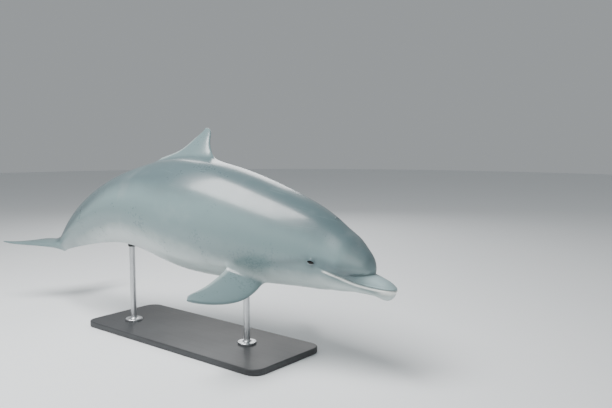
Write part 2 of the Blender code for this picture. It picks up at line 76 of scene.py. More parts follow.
# ---- forehead and trunk: s, middle's level, rise above it, drop below it, half width, squareness ----
BARREL = (
    (0.106, 0.004, 0.084, 0.100, 0.096, 2.00),
    (0.120, 0.007, 0.090, 0.102, 0.096, 2.05),
    (0.165, 0.010, 0.099, 0.099, 0.097, 2.10),
    (0.220, 0.008, 0.122, 0.106, 0.115, 2.15),
    (0.300, 0.000, 0.164, 0.123, 0.129, 2.20),
    (0.380, 0.005, 0.192, 0.145, 0.148, 2.15),
    (0.500, 0.010, 0.218, 0.177, 0.178, 2.10),
    (0.650, 0.010, 0.241, 0.212, 0.208, 2.10),
    (0.850, 0.010, 0.261, 0.252, 0.229, 2.10),
    (1.050, 0.010, 0.265, 0.276, 0.233, 2.10),
    (1.250, 0.010, 0.242, 0.263, 0.217, 2.05),
    (1.500, 0.005, 0.197, 0.208, 0.169, 1.90),
    (1.750, 0.000, 0.160, 0.157, 0.109, 1.70),
    (2.000, 0.000, 0.121, 0.115, 0.064, 1.55),
    (2.200, 0.000, 0.082, 0.077, 0.040, 1.50),
    (2.350, 0.002, 0.049, 0.046, 0.028, 1.55),
    (2.450, 0.022, 0.022, 0.022, 0.018, 1.80),
)
MELON_START = 0.106  # the crease between beak and forehead
MELON_DOME = 0.134  # how far back the forehead takes to reach its full section
MELON_TAPER = 1.17  # above 1 narrows its front, seen from above
MELON_SHELF = 0.203  # its underside takes this far, and leaves the beak's shelf clear ...
MELON_UNDERCUT = 2.3  # ... the more, the larger this is

# ---- beak and jaws: s, mouth line's level, rise above it, drop below it, half width ----
JAWS = (
    (0.000, -0.040, 0.012, 0.058, 0.036),
    (0.030, -0.041, 0.024, 0.053, 0.041),
    (0.060, -0.043, 0.035, 0.046, 0.046),
    (0.088, -0.044, 0.042, 0.042, 0.052),
    (0.120, -0.043, 0.045, 0.045, 0.063),
    (0.165, -0.038, 0.046, 0.054, 0.082),
    (0.220, -0.026, 0.042, 0.079, 0.103),
    (0.290, -0.018, 0.030, 0.096, 0.121),
    (0.340, -0.018, 0.012, 0.094, 0.110),
)
JAW_SQUARENESS = 2.2
NOSE_ROUND = 0.045  # length over which the beak's tip rounds off
JAW_END = 0.36  # the jaws have run out into the throat here ...
JAW_FADE = 0.02  # ... over this length
CREASE_BLEND = 0.006  # softness of the crease between the two sections
MOUTH_END = 0.29  # the corner of the mouth

# ---- the point that each section is measured from ----
CENTRE = (
    (0.0, -0.042), (0.05, -0.043), (0.088, -0.040), (0.12, -0.030), (0.165, -0.016), (0.22, -0.003),
    (0.30, 0.005), (0.5, 0.010), (1.05, 0.010), (1.5, 0.005), (1.75, 0.0), (2.25, 0.0), (2.35, 0.002),
    (2.45, 0.022), (2.5, 0.036),
)
MAX_RADIUS = 0.5  # no section reaches this far
STOCK_END = 2.455  # the tail stock runs out here, between the flukes

# ---- eyes ----
EYE_AT = 0.340
EYE_LEVEL = -0.003  # above the spine
EYE_RADIUS = 0.0215
EYE_PROUD = 0.0040  # how far the eyeball stands out of the skin

# ---- fins: points (back, out) of the leading and the trailing edge ----
DORSAL_LEADING = (
    (-0.089, -0.053), (0.0, 0.0), (0.040, 0.044), (0.081, 0.106), (0.107, 0.166), (0.132, 0.196),
    (0.158, 0.204),
)
DORSAL_TRAILING = (
    (0.407, -0.053), (0.354, 0.0), (0.279, 0.035), (0.221, 0.080), (0.186, 0.133), (0.163, 0.183),
    (0.164, 0.200),
)
DORSAL_AT = 1.068  # front of the base
DORSAL_MIDDLE = 0.18  # the base's line is taken from the front to this far behind it
DORSAL_LEAN = 17.5  # degrees to the left at the base ...
DORSAL_CURL = 0.31  # ... and radians more, by bending, at the tip
DORSAL_THICK = (0.048, 0.009)  # at the base and at the tip

FLIPPER_LEADING = (
    (0.0, -0.055), (0.0, 0.0), (0.008, 0.093), (0.034, 0.184), (0.100, 0.288), (0.157, 0.349),
    (0.203, 0.386),
)
FLIPPER_TRAILING = (
    (0.167, -0.055), (0.171, 0.0), (0.174, 0.050), (0.183, 0.112), (0.194, 0.186), (0.212, 0.272),
    (0.221, 0.341), (0.212, 0.381),
)
FLIPPER_THICK = (0.036, 0.010)
# station and angle of the root, sweep, droop and feather in degrees, curl in radians
FLIPPER_RIGHT = {"at": 0.575, "angle": -64.0, "sweep": -16.0, "droop": 32.0, "feather": -20.0, "curl": -0.48}
FLIPPER_LEFT = {"at": 0.565, "angle": -54.0, "sweep": 6.0, "droop": 26.0, "feather": -10.0, "curl": -0.30}

FLUKE_LEADING = (
    (-0.067, 0.0), (-0.043, 0.029), (0.0, 0.072), (0.053, 0.135), (0.111, 0.212), (0.169, 0.279),
    (0.217, 0.313),
)
FLUKE_TRAILING = (
    (0.115, 0.0), (0.141, 0.019), (0.163, 0.058), (0.166, 0.116), (0.169, 0.183), (0.188, 0.250),
    (0.220, 0.308),
)
FLUKE_AT = 2.385
FLUKE_LOWER = 0.008  # below the spine
FLUKE_FLEX = 30.0  # degrees that the trailing edge is raised
FLUKE_DROOP = 4.0  # degrees that each half hangs
FLUKE_THICK = (0.040, 0.007)

FIN_ROWS = 84  # sections from a fin's root to its tip
FIN_SIDE = 40  # points from the leading to the trailing edge
FIN_EDGE = 0.0012  # half the thickness of the trailing edge
FIN_EDGE_ROUND = 0.04  # share of the chord over which each edge rounds
FIN_TIP = 0.90  # share of the length from which the tip rounds off

# ---- the skin's net ----
TIP_RINGS = 36  # over the rounded tip of the beak
RING_RUNS = (  # start, end and step of the other rings
    (0.045, 0.285, 0.0020), (0.285, 0.321, 0.0010), (0.321, 0.360, 0.00045), (0.360, 0.400, 0.0010),
    (0.400, 0.460, 0.0030), (0.460, 2.350, 0.0065), (2.350, STOCK_END, 0.0040),
)
UPPER_COLUMNS = 260  # from one mouth line over the back to the other
LOWER_COLUMNS = 140  # and under the belly
LINE_FADE = (0.45, 1.10)  # between these stations the columns come to be spread evenly
UPPER_CROWD = (9.0, 0.085, 3.5)  # how the columns crowd at the mouth lines and at the top
LOWER_CROWD = (6.0, 0.050, 0.0)
FIN_FILLET = 0.042  # width of the fillet between a fin and the body
JOIN_REACH = 0.022  # the skin is evened out this far from the line of a join ...
JOIN_ROUNDS = 30  # ... in this many rounds
ON_SKIN = 2e-5  # a vertex this near to a surface lies on it

# ---- features of the skin ----
LIP_GROOVE = (0.0036, 0.0013)  # depth and half width of the line between the lips
LIP_ROLLS = (  # lower lip, upper lip, under the lower one: height, place above, half width
    (0.0032, -0.0066, 0.0042), (0.0014, 0.0050, 0.0032), (-0.0020, -0.0160, 0.0050),
)
LIP_FADE = 0.030  # the lips flatten out over this length before the corner of the mouth

CREASE_DEPTH = 0.0032  # of the groove between beak and forehead
CREASE_WIDTH = 0.0050
CREASE_END = 0.205  # it has run out on the cheeks here
CREASE_FADE = 0.045  # over this length

LID = 0.0017  # thickness of the eyelids over the eyeball
LID_SOFTNESS = 0.0035  # of the valley round the lids
LID_SINK = 0.0004  # the lids are set this much lower
EYE_HALF_LENGTH = 0.0162  # of the opening between the lids
EYE_HALF_HEIGHT = 0.0066
EYE_TILT = -0.05  # above 0, the opening's front corner hangs
EYE_SOCKET = 0.0045  # the skin under the eyeball lies this deep
# over and under the eye: height, stretch along, place forward and up, width
EYE_PADS = ((0.0034, 1.5, 0.001, 0.019, 0.014), (0.0016, 1.6, 0.0, -0.020, 0.012))
# folds round the lids: depth, radius, slant, width, and the heights between which each sets in
EYE_FOLDS = (
    (0.0008, 0.0178, 0.002, 0.0012, (0.002, 0.007)),
    (0.0007, 0.0172, 0.0, 0.0011, (-0.002, -0.007)),
    (0.0005, 0.0215, 0.0, 0.0013, (-0.004, -0.010)),
)
EYE_FOLD_RUN = 0.012  # a fold goes out by its slant over this distance forward

BLOWHOLE_AT = 0.338
BLOWHOLE_ANGLE = 88.0
BLOWHOLE_HALF_WIDTH = 0.019
BLOWHOLE_BOW = 0.0105  # its ends lie this far in front of its middle
BLOWHOLE_DEPTH = 0.0062
EAR_BEHIND = 0.056  # from the eye back to the ear's opening
EAR_LEVEL = -0.013
EAR_DEPTH = 0.0022

THROAT_FOLDS = (0.425, 0.447, 0.474)
NAVEL_AT = 1.19
SLITS = ((1.735, 0.065, 0.050), (1.845, 0.014, 0.008))  # middle, and distances from it where each fades

# ---- markings ----
# the cape's lower edge and the pale belly's upper edge: s, height from -1 at the belly to 1 at the back
CAPE_EDGE = (
    (0.10, 0.90), (0.20, 0.74), (0.34, 0.62), (0.60, 0.48), (0.90, 0.42), (1.20, 0.30), (1.50, 0.46),
    (1.80, 0.40), (2.10, 0.20), (2.50, -0.10),
)
# the pale belly is kept low and narrow, and the jaw's sides grey: partly the animal's own pattern, partly
# painted shade under the body and the lips
BELLY_EDGE = (
    (0.0, -0.55), (0.10, -0.50), (0.20, -0.46), (0.34, -0.52), (0.60, -0.62), (0.90, -0.64), (1.30, -0.62),
    (1.60, -0.70), (1.80, -0.82), (2.00, -1.02), (2.50, -1.30),
)
STRIPE_SHARE = 0.62  # of the eye mask's darkness, in the stripe from the eye to the beak
TRAIL_SHARE = 0.45  # and in the one behind the eye
CHEEK_SHADE_SHARE = 0.75  # and in the band over the mouth, as painted shade under the forehead's overhang
LID_SHARE = 0.22  # of the lip's paleness, on the lower lid
FIN_START = 0.012  # a fin's surface is this far from the body's net
FIN_NEAR = 0.02  # and at most this far from the fin's own net

# ---- eyeballs ----
BALL_ROWS, BALL_AROUND = 72, 96  # vertices of an eyeball from front to back, and round it
CORNEA_RISE = 0.0006  # over the ball

# ---- the stand's screws and sleeves ----
FOOT_TOP = 0.010  # the foot plates' upper side, over their lower one
SCREW_PLACE = 0.80  # share of the way from a foot plate's middle to its rim
SCREW_SINK = 0.0002  # how far the heads reach into it
SCREW_SIDES = 48
SCREW_PROFILE = ((0.50, 0.0), (0.50, 0.12), (0.44, 0.20), (0.30, 0.25))  # radius, height: in diameters
SOCKET_CORNER = 0.24  # from the head's axis to a corner of its six-sided socket
SOCKET_HEIGHTS = (0.25, 0.02)  # its rim and its floor
SLEEVE_PROFILE = (  # radius and height of a rod's rubber sleeve
    (0.0150, -0.020), (0.0185, -0.0195), (0.0200, -0.018), (0.0205, -0.004), (0.0205, 0.010),
    (0.0150, 0.010),
)
SLEEVE_SIDES = 64
SLEEVE_BELOW = 0.004  # its zero lies this far under the rod's top

# ---- stage ----
FLOOR_RADIUS = 14
LAMPS = (  # name, place, target, side and power
    ("lamp_key", (-0.3, -1.5, 3.8), (0.1, 0.0, 0.6), 2.4, 310),
    ("lamp_fill", (4.2, -2.6, 1.9), (0.3, 0.0, 0.6), 2.4, 24),
    ("lamp_back", (-2.6, 3.2, 2.6), (0.0, 0.0, 0.7), 2.2, 60),
)
SKY = {"Color": (0.86, 0.91, 0.94, 1), "Strength": 0.40}
CAMERA_AT = (2.5407, -2.2650, 1.0534)
CAMERA_DOWN = 6.4019  # degrees below level
CAMERA_TURN = 38.9987  # degrees from the direction of +Y towards -X


# ---- curves ----

def smooth_curve(rows):
    """A natural cubic through the rows (x, y), as a function of x."""
    x, y = np.array(rows, float).T
    step = np.diff(x)
    count = len(x)
    system = np.eye(count)
    load = np.zeros(count)
    for i in range(1, count - 1):
        system[i, i - 1:i + 2] = step[i - 1], 2 * (step[i - 1] + step[i]), step[i]
        load[i] = 6 * ((y[i + 1] - y[i]) / step[i] - (y[i] - y[i - 1]) / step[i - 1])
    curve = np.linalg.solve(system, load)

    def value(at):
        at = np.clip(np.asarray(at, float), x[0], x[-1])
        i = np.clip(np.searchsorted(x, at) - 1, 0, count - 2)
        left, right, h = at - x[i], x[i + 1] - at, step[i]
        arch = (curve[i] * right ** 3 + curve[i + 1] * left ** 3) / (6 * h)
        line = (y[i] / h - curve[i] * h / 6) * right + (y[i + 1] / h - curve[i + 1] * h / 6) * left
        return arch + line

    return value


def columns(table):
    """One curve along s for each further column of a table."""
    s, *rest = zip(*table)
    return [smooth_curve(list(zip(s, column))) for column in rest]


level, rise, drop, half_width, squareness = columns(BARREL)
mouth, jaw_rise, jaw_drop, jaw_width = columns(JAWS)
centre, heading, climb, bank = (smooth_curve(rows) for rows in (CENTRE, HEADING, CLIMB, BANK))


def ease(x, low, high):
    """0 below low and 1 above high, smooth between them; the two may come in either order."""
    t = np.clip((np.asarray(x, float) - low) / (high - low), 0, 1)
    return t * t * (3 - 2 * t)


def bell(x, width):
    """1 at 0, falling away over the width on both sides."""
    return np.exp(-(np.asarray(x, float) / width) ** 2)


def unit(vector):
    return vector / np.linalg.norm(vector, axis=-1, keepdims=True)


# ---- the skin in body coordinates ----

def dome(u):
    """A quarter circle: 0 at u = 0 with an upright start, and 1 from u = 1 on."""
    return np.sqrt(np.maximum(1 - (1 - np.clip(u, 0, 1)) ** 2, 0))


def reach(x, z, offset, width, up, down, power):
    """How far the ray (x, z) goes before it leaves a superellipse; its middle is offset above the start."""
    width, up, down = (np.maximum(size, 1e-5) for size in (width, up, down))

    def inside(r):
        height = z * r - offset
        tall = np.where(height > 0, up, down)
        return (np.abs(x * r) / width) ** power + (np.abs(height) / tall) ** power <= 1

    steps = np.linspace(0, MAX_RADIUS, 41)
    near = np.zeros(np.broadcast(x, z, offset).shape)
    for r in steps:
        near = np.where(inside(r), r, near)
    small = near == 0
    for r in steps[1] * 0.5 ** np.arange(1, 5):
        near = np.where(small & (near == 0) & inside(r), r, near)
    far = np.where(small, near * 2, near + steps[1])
    hit = near > 0
    for _ in range(18):
        middle = (near + far) / 2
        keep = inside(middle)
        near, far = np.where(keep, middle, near), np.where(keep, far, middle)
    return np.where(hit, near, 0)


def sections(s, angle):
    """How far the barrel and the jaws reach from the section's centre, each alone."""
    s, angle = np.broadcast_arrays(np.asarray(s, float), np.asarray(angle, float))
    x, z, c = np.cos(angle), np.sin(angle), centre(s)
    swell = dome((s - MELON_START) / MELON_DOME)
    wide, under = swell ** MELON_TAPER, dome((s - MELON_START) / MELON_SHELF) ** MELON_UNDERCUT
    barrel = reach(x, z, level(s) - c, half_width(s) * wide, rise(s) * swell, drop(s) * under, squareness(s))
    barrel = np.where(s > MELON_START, barrel, 0)
    ends = dome(s / NOSE_ROUND) ** 0.9 * dome((JAW_END - s) / JAW_FADE)
    wide, up, down = (curve(s) * ends for curve in (jaw_width, jaw_rise, jaw_drop))
    return barrel, reach(x, z, mouth(s) - c, wide, up, down, JAW_SQUARENESS)


def skin_radius(s, angle):
    """From the section's centre to the skin; the angle is 0 to the animal's left and 90 degrees upwards."""
    barrel, jaws = sections(s, angle)
    blend = 0.5 * (barrel + jaws + np.hypot(barrel - jaws, CREASE_BLEND))
    return np.where(barrel <= 0, jaws, np.where(jaws <= 0, barrel, blend))


# ---- the spine ----

TRACK = np.arange(0, NOTCH_AT + TRACK_STEP / 2, TRACK_STEP)


def directions(s):
    """Unit vectors forward, to the left and up at s."""
    turn, pitch, roll = (np.radians(curve(s)) for curve in (heading, climb, bank))
    forward = np.stack([np.cos(pitch) * np.cos(turn), np.cos(pitch) * np.sin(turn), np.sin(pitch)], -1)
    level_left = np.stack([-np.sin(turn), np.cos(turn), 0 * turn], -1)
    level_up = np.cross(forward, level_left)
    cos, sin = np.cos(roll)[..., None], np.sin(roll)[..., None]
    return forward, level_left * cos - level_up * sin, level_up * cos + level_left * sin


def spine_track():
    """Points of the spine, from adding up its forward directions."""
    forward = directions(TRACK)[0]
    path = np.vstack([np.zeros(3), -np.cumsum((forward[1:] + forward[:-1]) / 2 * TRACK_STEP, axis=0)])
    held = int(round(HOLD_AT / TRACK_STEP))
    return path - path[held] + np.array(HOLD_POINT)


PATH = spine_track()


def spine_frame(s):
    """The spine's point at s, with the unit vectors forward, left and up."""
    s = np.asarray(s, float)
    point = np.stack([np.interp(s, TRACK, PATH[:, axis]) for axis in range(3)], -1)
    return (point, *directions(s))


def place(s, y, z):
    """World position of a point in body coordinates."""
    point, _, left, up = spine_frame(s)
    return point + left * np.asarray(y, float)[..., None] + up * np.asarray(z, float)[..., None]


def middle_of(s):
    """World position of the point that the section at s is measured from."""
    return place(s, 0 * s, centre(s))


def back_point(s):
    """World position of the top of the back at s."""
    return place(s, 0.0, level(s) + rise(s))


def skin_point(s, angle):
    """World position of the skin at a station and an angle."""
    radius = skin_radius(s, angle)
    return place(s, radius * np.cos(angle), centre(s) + radius * np.sin(angle))


# ---- the body's net ----

def net_stations():
    """Stations of the rings, close together at the beak's tip and round the eyes."""
    tip = NOSE_ROUND * (1 - np.cos(np.linspace(0.035, math.pi / 2, TIP_RINGS)))
    runs = [np.arange(start, end - step / 2, step) for start, end, step in RING_RUNS]
    return np.concatenate([tip[:-1], *runs, [STOCK_END]])


def crowd(count, ends, width, middle):
    """Shares of an arc for its columns, crowded at both ends and by the weight middle at its top."""
    x = np.linspace(0, 1, 4001)
    density = 1 + ends * (bell(x, width) + bell(1 - x, width)) + middle * bell(x - 0.5, 0.05)
    run = np.concatenate([[0], np.cumsum((density[1:] + density[:-1]) / 2)])
    return np.interp(np.linspace(0, run[-1], count + 1), run, x)[:-1]


def line_angle(s):
    """Angle of the mouth line on the left, and behind the mouth of a line that eases to level."""
    angles = np.radians(np.linspace(-70, 70, 281))
    grid_s, grid_a = np.meshgrid(s, angles, indexing="ij")
    heights = centre(grid_s) + skin_radius(grid_s, grid_a) * np.sin(grid_a)
    found = np.array([np.interp(mouth(at), row, angles) for at, row in zip(s, heights)])
    return found * ease(s, LINE_FADE[1], LINE_FADE[0]) * ease(s, 0.0, 0.004)


def net_angles(s):
    """Angles of every ring's columns: column 0 runs along the left mouth line and goes up over the back."""
    start = line_angle(s)[:, None]
    even = ease(s, *LINE_FADE)[:, None]
    upper, lower = (
        crowd(count, *crowding) * (1 - even) + np.arange(count) / count * even
        for count, crowding in ((UPPER_COLUMNS, UPPER_CROWD), (LOWER_COLUMNS, LOWER_CROWD))
    )
    over = start + upper * (math.pi - 2 * start)
    under = math.pi - start + lower * (math.pi + 2 * start)
    return np.concatenate([over, under], axis=1)


def net_normals(points):
    """Outward unit normals of a net of rings."""
    along = np.gradient(points, axis=0)
    around = np.roll(points, -1, axis=1) - np.roll(points, 1, axis=1)
    return unit(np.cross(along, around) + 1e-12)


def body_net():
    """Stations, angles, points and outward normals of the body's net."""
    s = net_stations()
    angles = net_angles(s)
    grid_s = np.broadcast_to(s[:, None], angles.shape)
    points = skin_point(grid_s, angles)
    normals = net_normals(points)
    outward = points - middle_of(s)[:, None]
    normals *= np.sign(np.sum(normals * outward, axis=-1, keepdims=True))
    return grid_s, angles, points, normals


# ---- fins ----

def edge_curve(points, t):
    """A smooth line through points (back, out), read at shares t of its length."""
    points = np.array(points)
    run = np.concatenate([[0], np.cumsum(np.linalg.norm(np.diff(points, axis=0), axis=1))])
    run /= run[-1]
    return np.stack([smooth_curve(list(zip(run, points[:, axis])))(t) for axis in range(2)], -1)


def aerofoil(count):
    """Shares of the chord and half thicknesses round a section, leading edge first."""
    c = 0.5 * (1 - np.cos(np.linspace(0, math.pi, count)))
    half = 5 * (0.2969 * np.sqrt(c) - 0.1260 * c - 0.3516 * c ** 2 + 0.2843 * c ** 3 - 0.1036 * c ** 4)
    return np.concatenate([c, c[-2:0:-1]]), np.concatenate([half, -half[-2:0:-1]])


def blade(leading, trailing, thick):
    """Rings of points (back, out, aside) from a fin's root to its rounded tip."""
    t = np.sin(np.linspace(0, 1, FIN_ROWS) * math.pi / 2) ** 0.9
    front, back = edge_curve(leading, t), edge_curve(trailing, t)
    rounding = np.maximum((t - FIN_TIP) / (1 - FIN_TIP), 0)
    taper = np.sqrt(np.maximum(1 - rounding ** 2, 0))[:, None]
    middle = front * 0.45 + back * 0.55
    front, back = middle + (front - middle) * taper, middle + (back - middle) * taper
    chord, half = aerofoil(FIN_SIDE)
    depth = (thick[1] + (thick[0] - thick[1]) * (1 - t) ** 1.3) * taper[:, 0]
    flat = front[:, None] + (back - front)[:, None] * chord[None, :, None]
    rim = FIN_EDGE * np.sign(half) * dome(chord / FIN_EDGE_ROUND) * dome((1 - chord) / FIN_EDGE_ROUND)
    aside = half[None] * depth[:, None] + rim[None] * taper
    return np.concatenate([flat, aside[..., None]], -1)


def turned(one, two, angle):
    """Two directions, turned by an angle from the first towards the second."""
    cos, sin = math.cos(angle), math.sin(angle)
    return one * cos + two * sin, two * cos - one * sin


def mount_blade(rings, root, back, out, aside, curl):
    """Set a blade on its root; curl is the angle, in radians, that it bends towards aside by its tip."""
    u, v, w = rings[..., 0:1], rings[..., 1:2], rings[..., 2:3]
    radius = rings[..., 1].max() / curl
    turn = np.maximum(v, 0) / radius
    along = np.where(v > 0, radius * np.sin(turn), v) - w * np.sin(turn)
    lift = np.where(v > 0, radius * (1 - np.cos(turn)), 0) + w * np.cos(turn)
    return root + u * back + along * out + lift * aside


def dorsal_rings():
    """The dorsal fin, which leans and bends to the left."""
    root = back_point(DORSAL_AT)
    behind = DORSAL_AT + DORSAL_MIDDLE
    back = unit(back_point(behind) - root)
    _, _, left, up = spine_frame(behind)
    upright = unit(up - (up @ back) * back)
    aside = unit(left - (left @ back) * back)
    out, aside = turned(upright, aside, math.radians(DORSAL_LEAN))
    rings = blade(DORSAL_LEADING, DORSAL_TRAILING, DORSAL_THICK)
    return mount_blade(rings, root, back, out, aside, DORSAL_CURL)


def on_side(angle, side):
    """An angle given for the left, on either side."""
    return math.pi / 2 - side * (math.pi / 2 - angle)


def flipper_rings(hold, side):
    """A flipper; the side is +1 on the left and -1 on the right."""
    at, angle = hold["at"], math.radians(hold["angle"])
    root = skin_point(at, on_side(angle, side))
    _, forward, left, up = spine_frame(at)
    droop, sweep, feather = (math.radians(hold[key]) for key in ("droop", "sweep", "feather"))
    outward, _ = turned(side * left, -up, droop)
    out, _ = turned(outward, -forward, sweep)
    back = unit(-forward + (forward @ out) * out)
    back, aside = turned(back, side * np.cross(back, out), feather)
    rings = blade(FLIPPER_LEADING, FLIPPER_TRAILING, FLIPPER_THICK)
    return mount_blade(rings, root, back, out, aside, hold["curl"])


def fluke_half(side):
    """Half of the flukes, from the middle plane out; the side is +1 on the left."""
    point, forward, left, up = spine_frame(FLUKE_AT)
    back, upper = turned(-forward, up, math.radians(FLUKE_FLEX))
    aside, out = turned(upper, side * left, math.radians(FLUKE_DROOP))
    root = point - up * FLUKE_LOWER
    rings = blade(FLUKE_LEADING, FLUKE_TRAILING, FLUKE_THICK)
    u, v, w = rings[..., 0:1], rings[..., 1:2], rings[..., 2:3]
    points = root + u * back + v * out + w * aside
    points[0] -= ((points[0] - root) @ left)[:, None] * left
    return points


def fluke_rings():
    """Both halves in one, from the left tip to the right one."""
    return np.concatenate([fluke_half(1)[::-1], fluke_half(-1)[1:]])


# ---- meshes ----

def net_mesh(name, rings):
    """A closed mesh over rings of equally many points, each end drawn to a point."""
    rows, around = rings.shape[:2]
    ends = np.stack([rings[0].mean(axis=0), rings[-1].mean(axis=0)])
    points = np.concatenate([rings.reshape(-1, 3), ends])
    i, j = np.meshgrid(np.arange(rows - 1), np.arange(around), indexing="ij")
    k = (j + 1) % around
    quads = np.stack([i * around + j, i * around + k, (i + 1) * around + k, (i + 1) * around + j], -1)
    first, last = rows * around, rows * around + 1
    turn = np.arange(around)
    after = (turn + 1) % around
    base = (rows - 1) * around
    caps = [(first, b, a) for a, b in zip(turn.tolist(), after.tolist())]
    caps += [(last, base + a, base + b) for a, b in zip(turn.tolist(), after.tolist())]
    mesh = bpy.data.meshes.new(name)
    mesh.from_pydata(points.tolist(), [], quads.reshape(-1, 4).tolist() + caps)
    mesh.validate()
    net = bmesh.new()
    net.from_mesh(mesh)
    bmesh.ops.recalc_face_normals(net, faces=net.faces)
    net.to_mesh(mesh)
    net.free()
    return mesh


def vertex_values(mesh, key):
    """The vertices' places ("co") or normals ("normal")."""
    values = np.empty(len(mesh.vertices) * 3, np.float32)
    mesh.vertices.foreach_get(key, values)
    return values.reshape(-1, 3).astype(float)


def set_points(mesh, points):
    mesh.vertices.foreach_set("co", points.astype(np.float32).ravel())
    mesh.update()


def carry(mesh, numbers):
    """Give a mesh's vertices numbers under their names, for its material to read."""
    for name, values in numbers.items():
        layer = mesh.attributes.new(name, "FLOAT", "POINT")
        layer.data.foreach_set("value", values.astype(np.float32))


def add_piece(name, data):
    """A new object in the scene; the data is its mesh, lamp or camera."""
    piece = bpy.data.objects.new(name, data)
    bpy.context.scene.collection.objects.link(piece)
    return piece


def tree_of(mesh):
    net = bmesh.new()
    net.from_mesh(mesh)
    tree = BVHTree.FromBMesh(net)
    net.free()
    return tree


def finder_of(points):
    """A finder of the nearest one among points."""
    finder = KDTree(len(points))
    for i, point in enumerate(points):
        finder.insert(point, i)
    finder.balance()
    return finder


def box_of(points):
    return points.min(axis=0), points.max(axis=0)


def in_box(points, box, margin=0.0):
    """Which points lie in a box that is widened by a margin."""
    low, high = box
    return np.nonzero(np.all((points > low - margin) & (points < high + margin), axis=1))[0]


# ---- carving the features ----

class Spot:
    """A place on the skin with its own axes: forward, up along the skin, and out of it."""

    def __init__(self, s, angle):
        step = 0.004
        self.point = skin_point(s, angle)
        behind = skin_point(s + step, angle) - skin_point(s - step, angle)
        around = skin_point(s, angle + step) - skin_point(s, angle - step)
        normal = unit(np.cross(behind, around))
        self.out = normal * np.sign(normal @ (self.point - middle_of(s)))
        self.forward = unit(-behind + (behind @ self.out) * self.out)
        _, _, _, up = spine_frame(s)
        side = np.cross(self.out, self.forward)
        self.up = side * (np.sign(side @ up) or 1)

    def local(self, points):
        away = points - self.point
        return away @ self.forward, away @ self.up, away @ self.out


def level_angle(s, height):
    """The angle, on the left, at which the skin is at a height above the spine."""
    angles = np.radians(np.linspace(-50, 50, 401))
    heights = centre(s) + skin_radius(s, angles) * np.sin(angles)
    return float(np.interp(height, heights, angles))


def side_spot(s, height, side):
    """A place on one side at a height above the spine."""
    return Spot(s, on_side(level_angle(s, height), side))


def eye_spot(side):
    return side_spot(EYE_AT, EYE_LEVEL, side)


def lid_opening(a, b):
    """Above 0 between the eyelids and below 0 on them, in metres; a is forward and b up from the eye."""
    tilted = b + EYE_TILT * a
    share = np.clip(a / EYE_HALF_LENGTH, -1.6, 1.6)
    bow = np.where(tilted > 0, 1.08, 0.92) * EYE_HALF_HEIGHT * (1 - share ** 2)
    return bow - np.abs(tilted)


def eye_relief(points, side):
    """How far the skin rises out of the head round one eye."""
    a, b, c = eye_spot(side).local(points)
    far = np.hypot(a, b)
    sunk = EYE_RADIUS - EYE_PROUD
    ball = np.sqrt(np.maximum((EYE_RADIUS + LID) ** 2 - far ** 2, 0)) - sunk
    ball = np.where(far < EYE_RADIUS + LID, ball, -0.02)
    lid = 0.5 * (ball - c + np.hypot(ball - c, LID_SOFTNESS)) - LID_SINK
    relief = lid * (far < 0.040)
    for height, stretch, forward, up, width in EYE_PADS:
        relief = relief + height * bell(np.hypot(a / stretch - forward, b - up), width)
    for depth, radius, slant, width, sets_in in EYE_FOLDS:
        relief = relief - depth * bell(far - radius - slant * a / EYE_FOLD_RUN, width) * ease(b, *sets_in)
    corners = ease(np.abs(a), 0.0150, 0.0170) * ease(np.abs(a), 0.029, 0.018)
    relief = relief - 0.0012 * bell(b + EYE_TILT * a, 0.0012) * corners
    open_share = ease(lid_opening(a, b), -0.0005, 0.0007) * (far < 0.022)
    socket = np.sqrt(np.maximum((EYE_RADIUS - EYE_SOCKET) ** 2 - far ** 2, 0)) - sunk - c
    return relief * (1 - open_share) + socket * open_share


def blowhole_relief(points):
    """A crescent slit between low lips, with its plug in front, on a low mound."""
    spot = Spot(BLOWHOLE_AT, math.radians(BLOWHOLE_ANGLE))
    a, _, _ = spot.local(points)
    b = (points - spot.point) @ np.cross(spot.out, spot.forward)
    share = b / BLOWHOLE_HALF_WIDTH
    off = a - BLOWHOLE_BOW * share ** 2 + 0.004
    slit = -BLOWHOLE_DEPTH * bell(off, 0.0013) * ease(np.abs(share), 1.04, 0.86)
    lips = 0.0016 * bell(np.abs(off) - 0.0035, 0.0028) * ease(np.abs(share), 1.25, 0.8)
    plug = 0.0010 * bell(np.hypot(off - 0.009, b / 1.5), 0.008)
    mound = 0.0022 * bell(np.hypot(a, b), 0.040)
    return np.where(np.hypot(a, b) < 0.1, slit + lips + plug + mound, 0)


def ear_relief(points, side):
    a, b, _ = side_spot(EYE_AT + EAR_BEHIND, EAR_LEVEL, side).local(points)
    far = np.hypot(a, b)
    return -EAR_DEPTH * bell(far, 0.0013) + 0.0004 * bell(far, 0.0045)


def lip_relief(s, above, radius):
    """The lips' rolls and the line between them; above is the distance over the mouth line."""
    closing = ease(s, MOUTH_END + 0.004, MOUTH_END - LIP_FADE)
    end = ease(s, MOUTH_END + 0.002, MOUTH_END - 0.010)
    room = ease(radius, 0.004, 0.020)
    depth, width = LIP_GROOVE
    groove = -depth * bell(above, width) * end
    rolls = sum(height * bell(above - at, wide) for height, at, wide in LIP_ROLLS)
    behind = s - MOUTH_END
    curl = ease(behind, -0.004, 0.0) * ease(behind, 0.018, 0.004)
    curl = -0.0014 * bell(above + 0.35 * behind, 0.0016) * curl
    pad = 0.0016 * bell(np.hypot(behind - 0.010, above), 0.016)
    return groove + rolls * closing * room + curl + pad


def crease_relief(s, angle):
    """A soft groove where the forehead rises from the beak's shelf."""
    barrel, jaws = sections(s, angle)
    return -CREASE_DEPTH * bell(barrel - jaws, CREASE_WIDTH) * ease(s, CREASE_END, CREASE_END - CREASE_FADE)


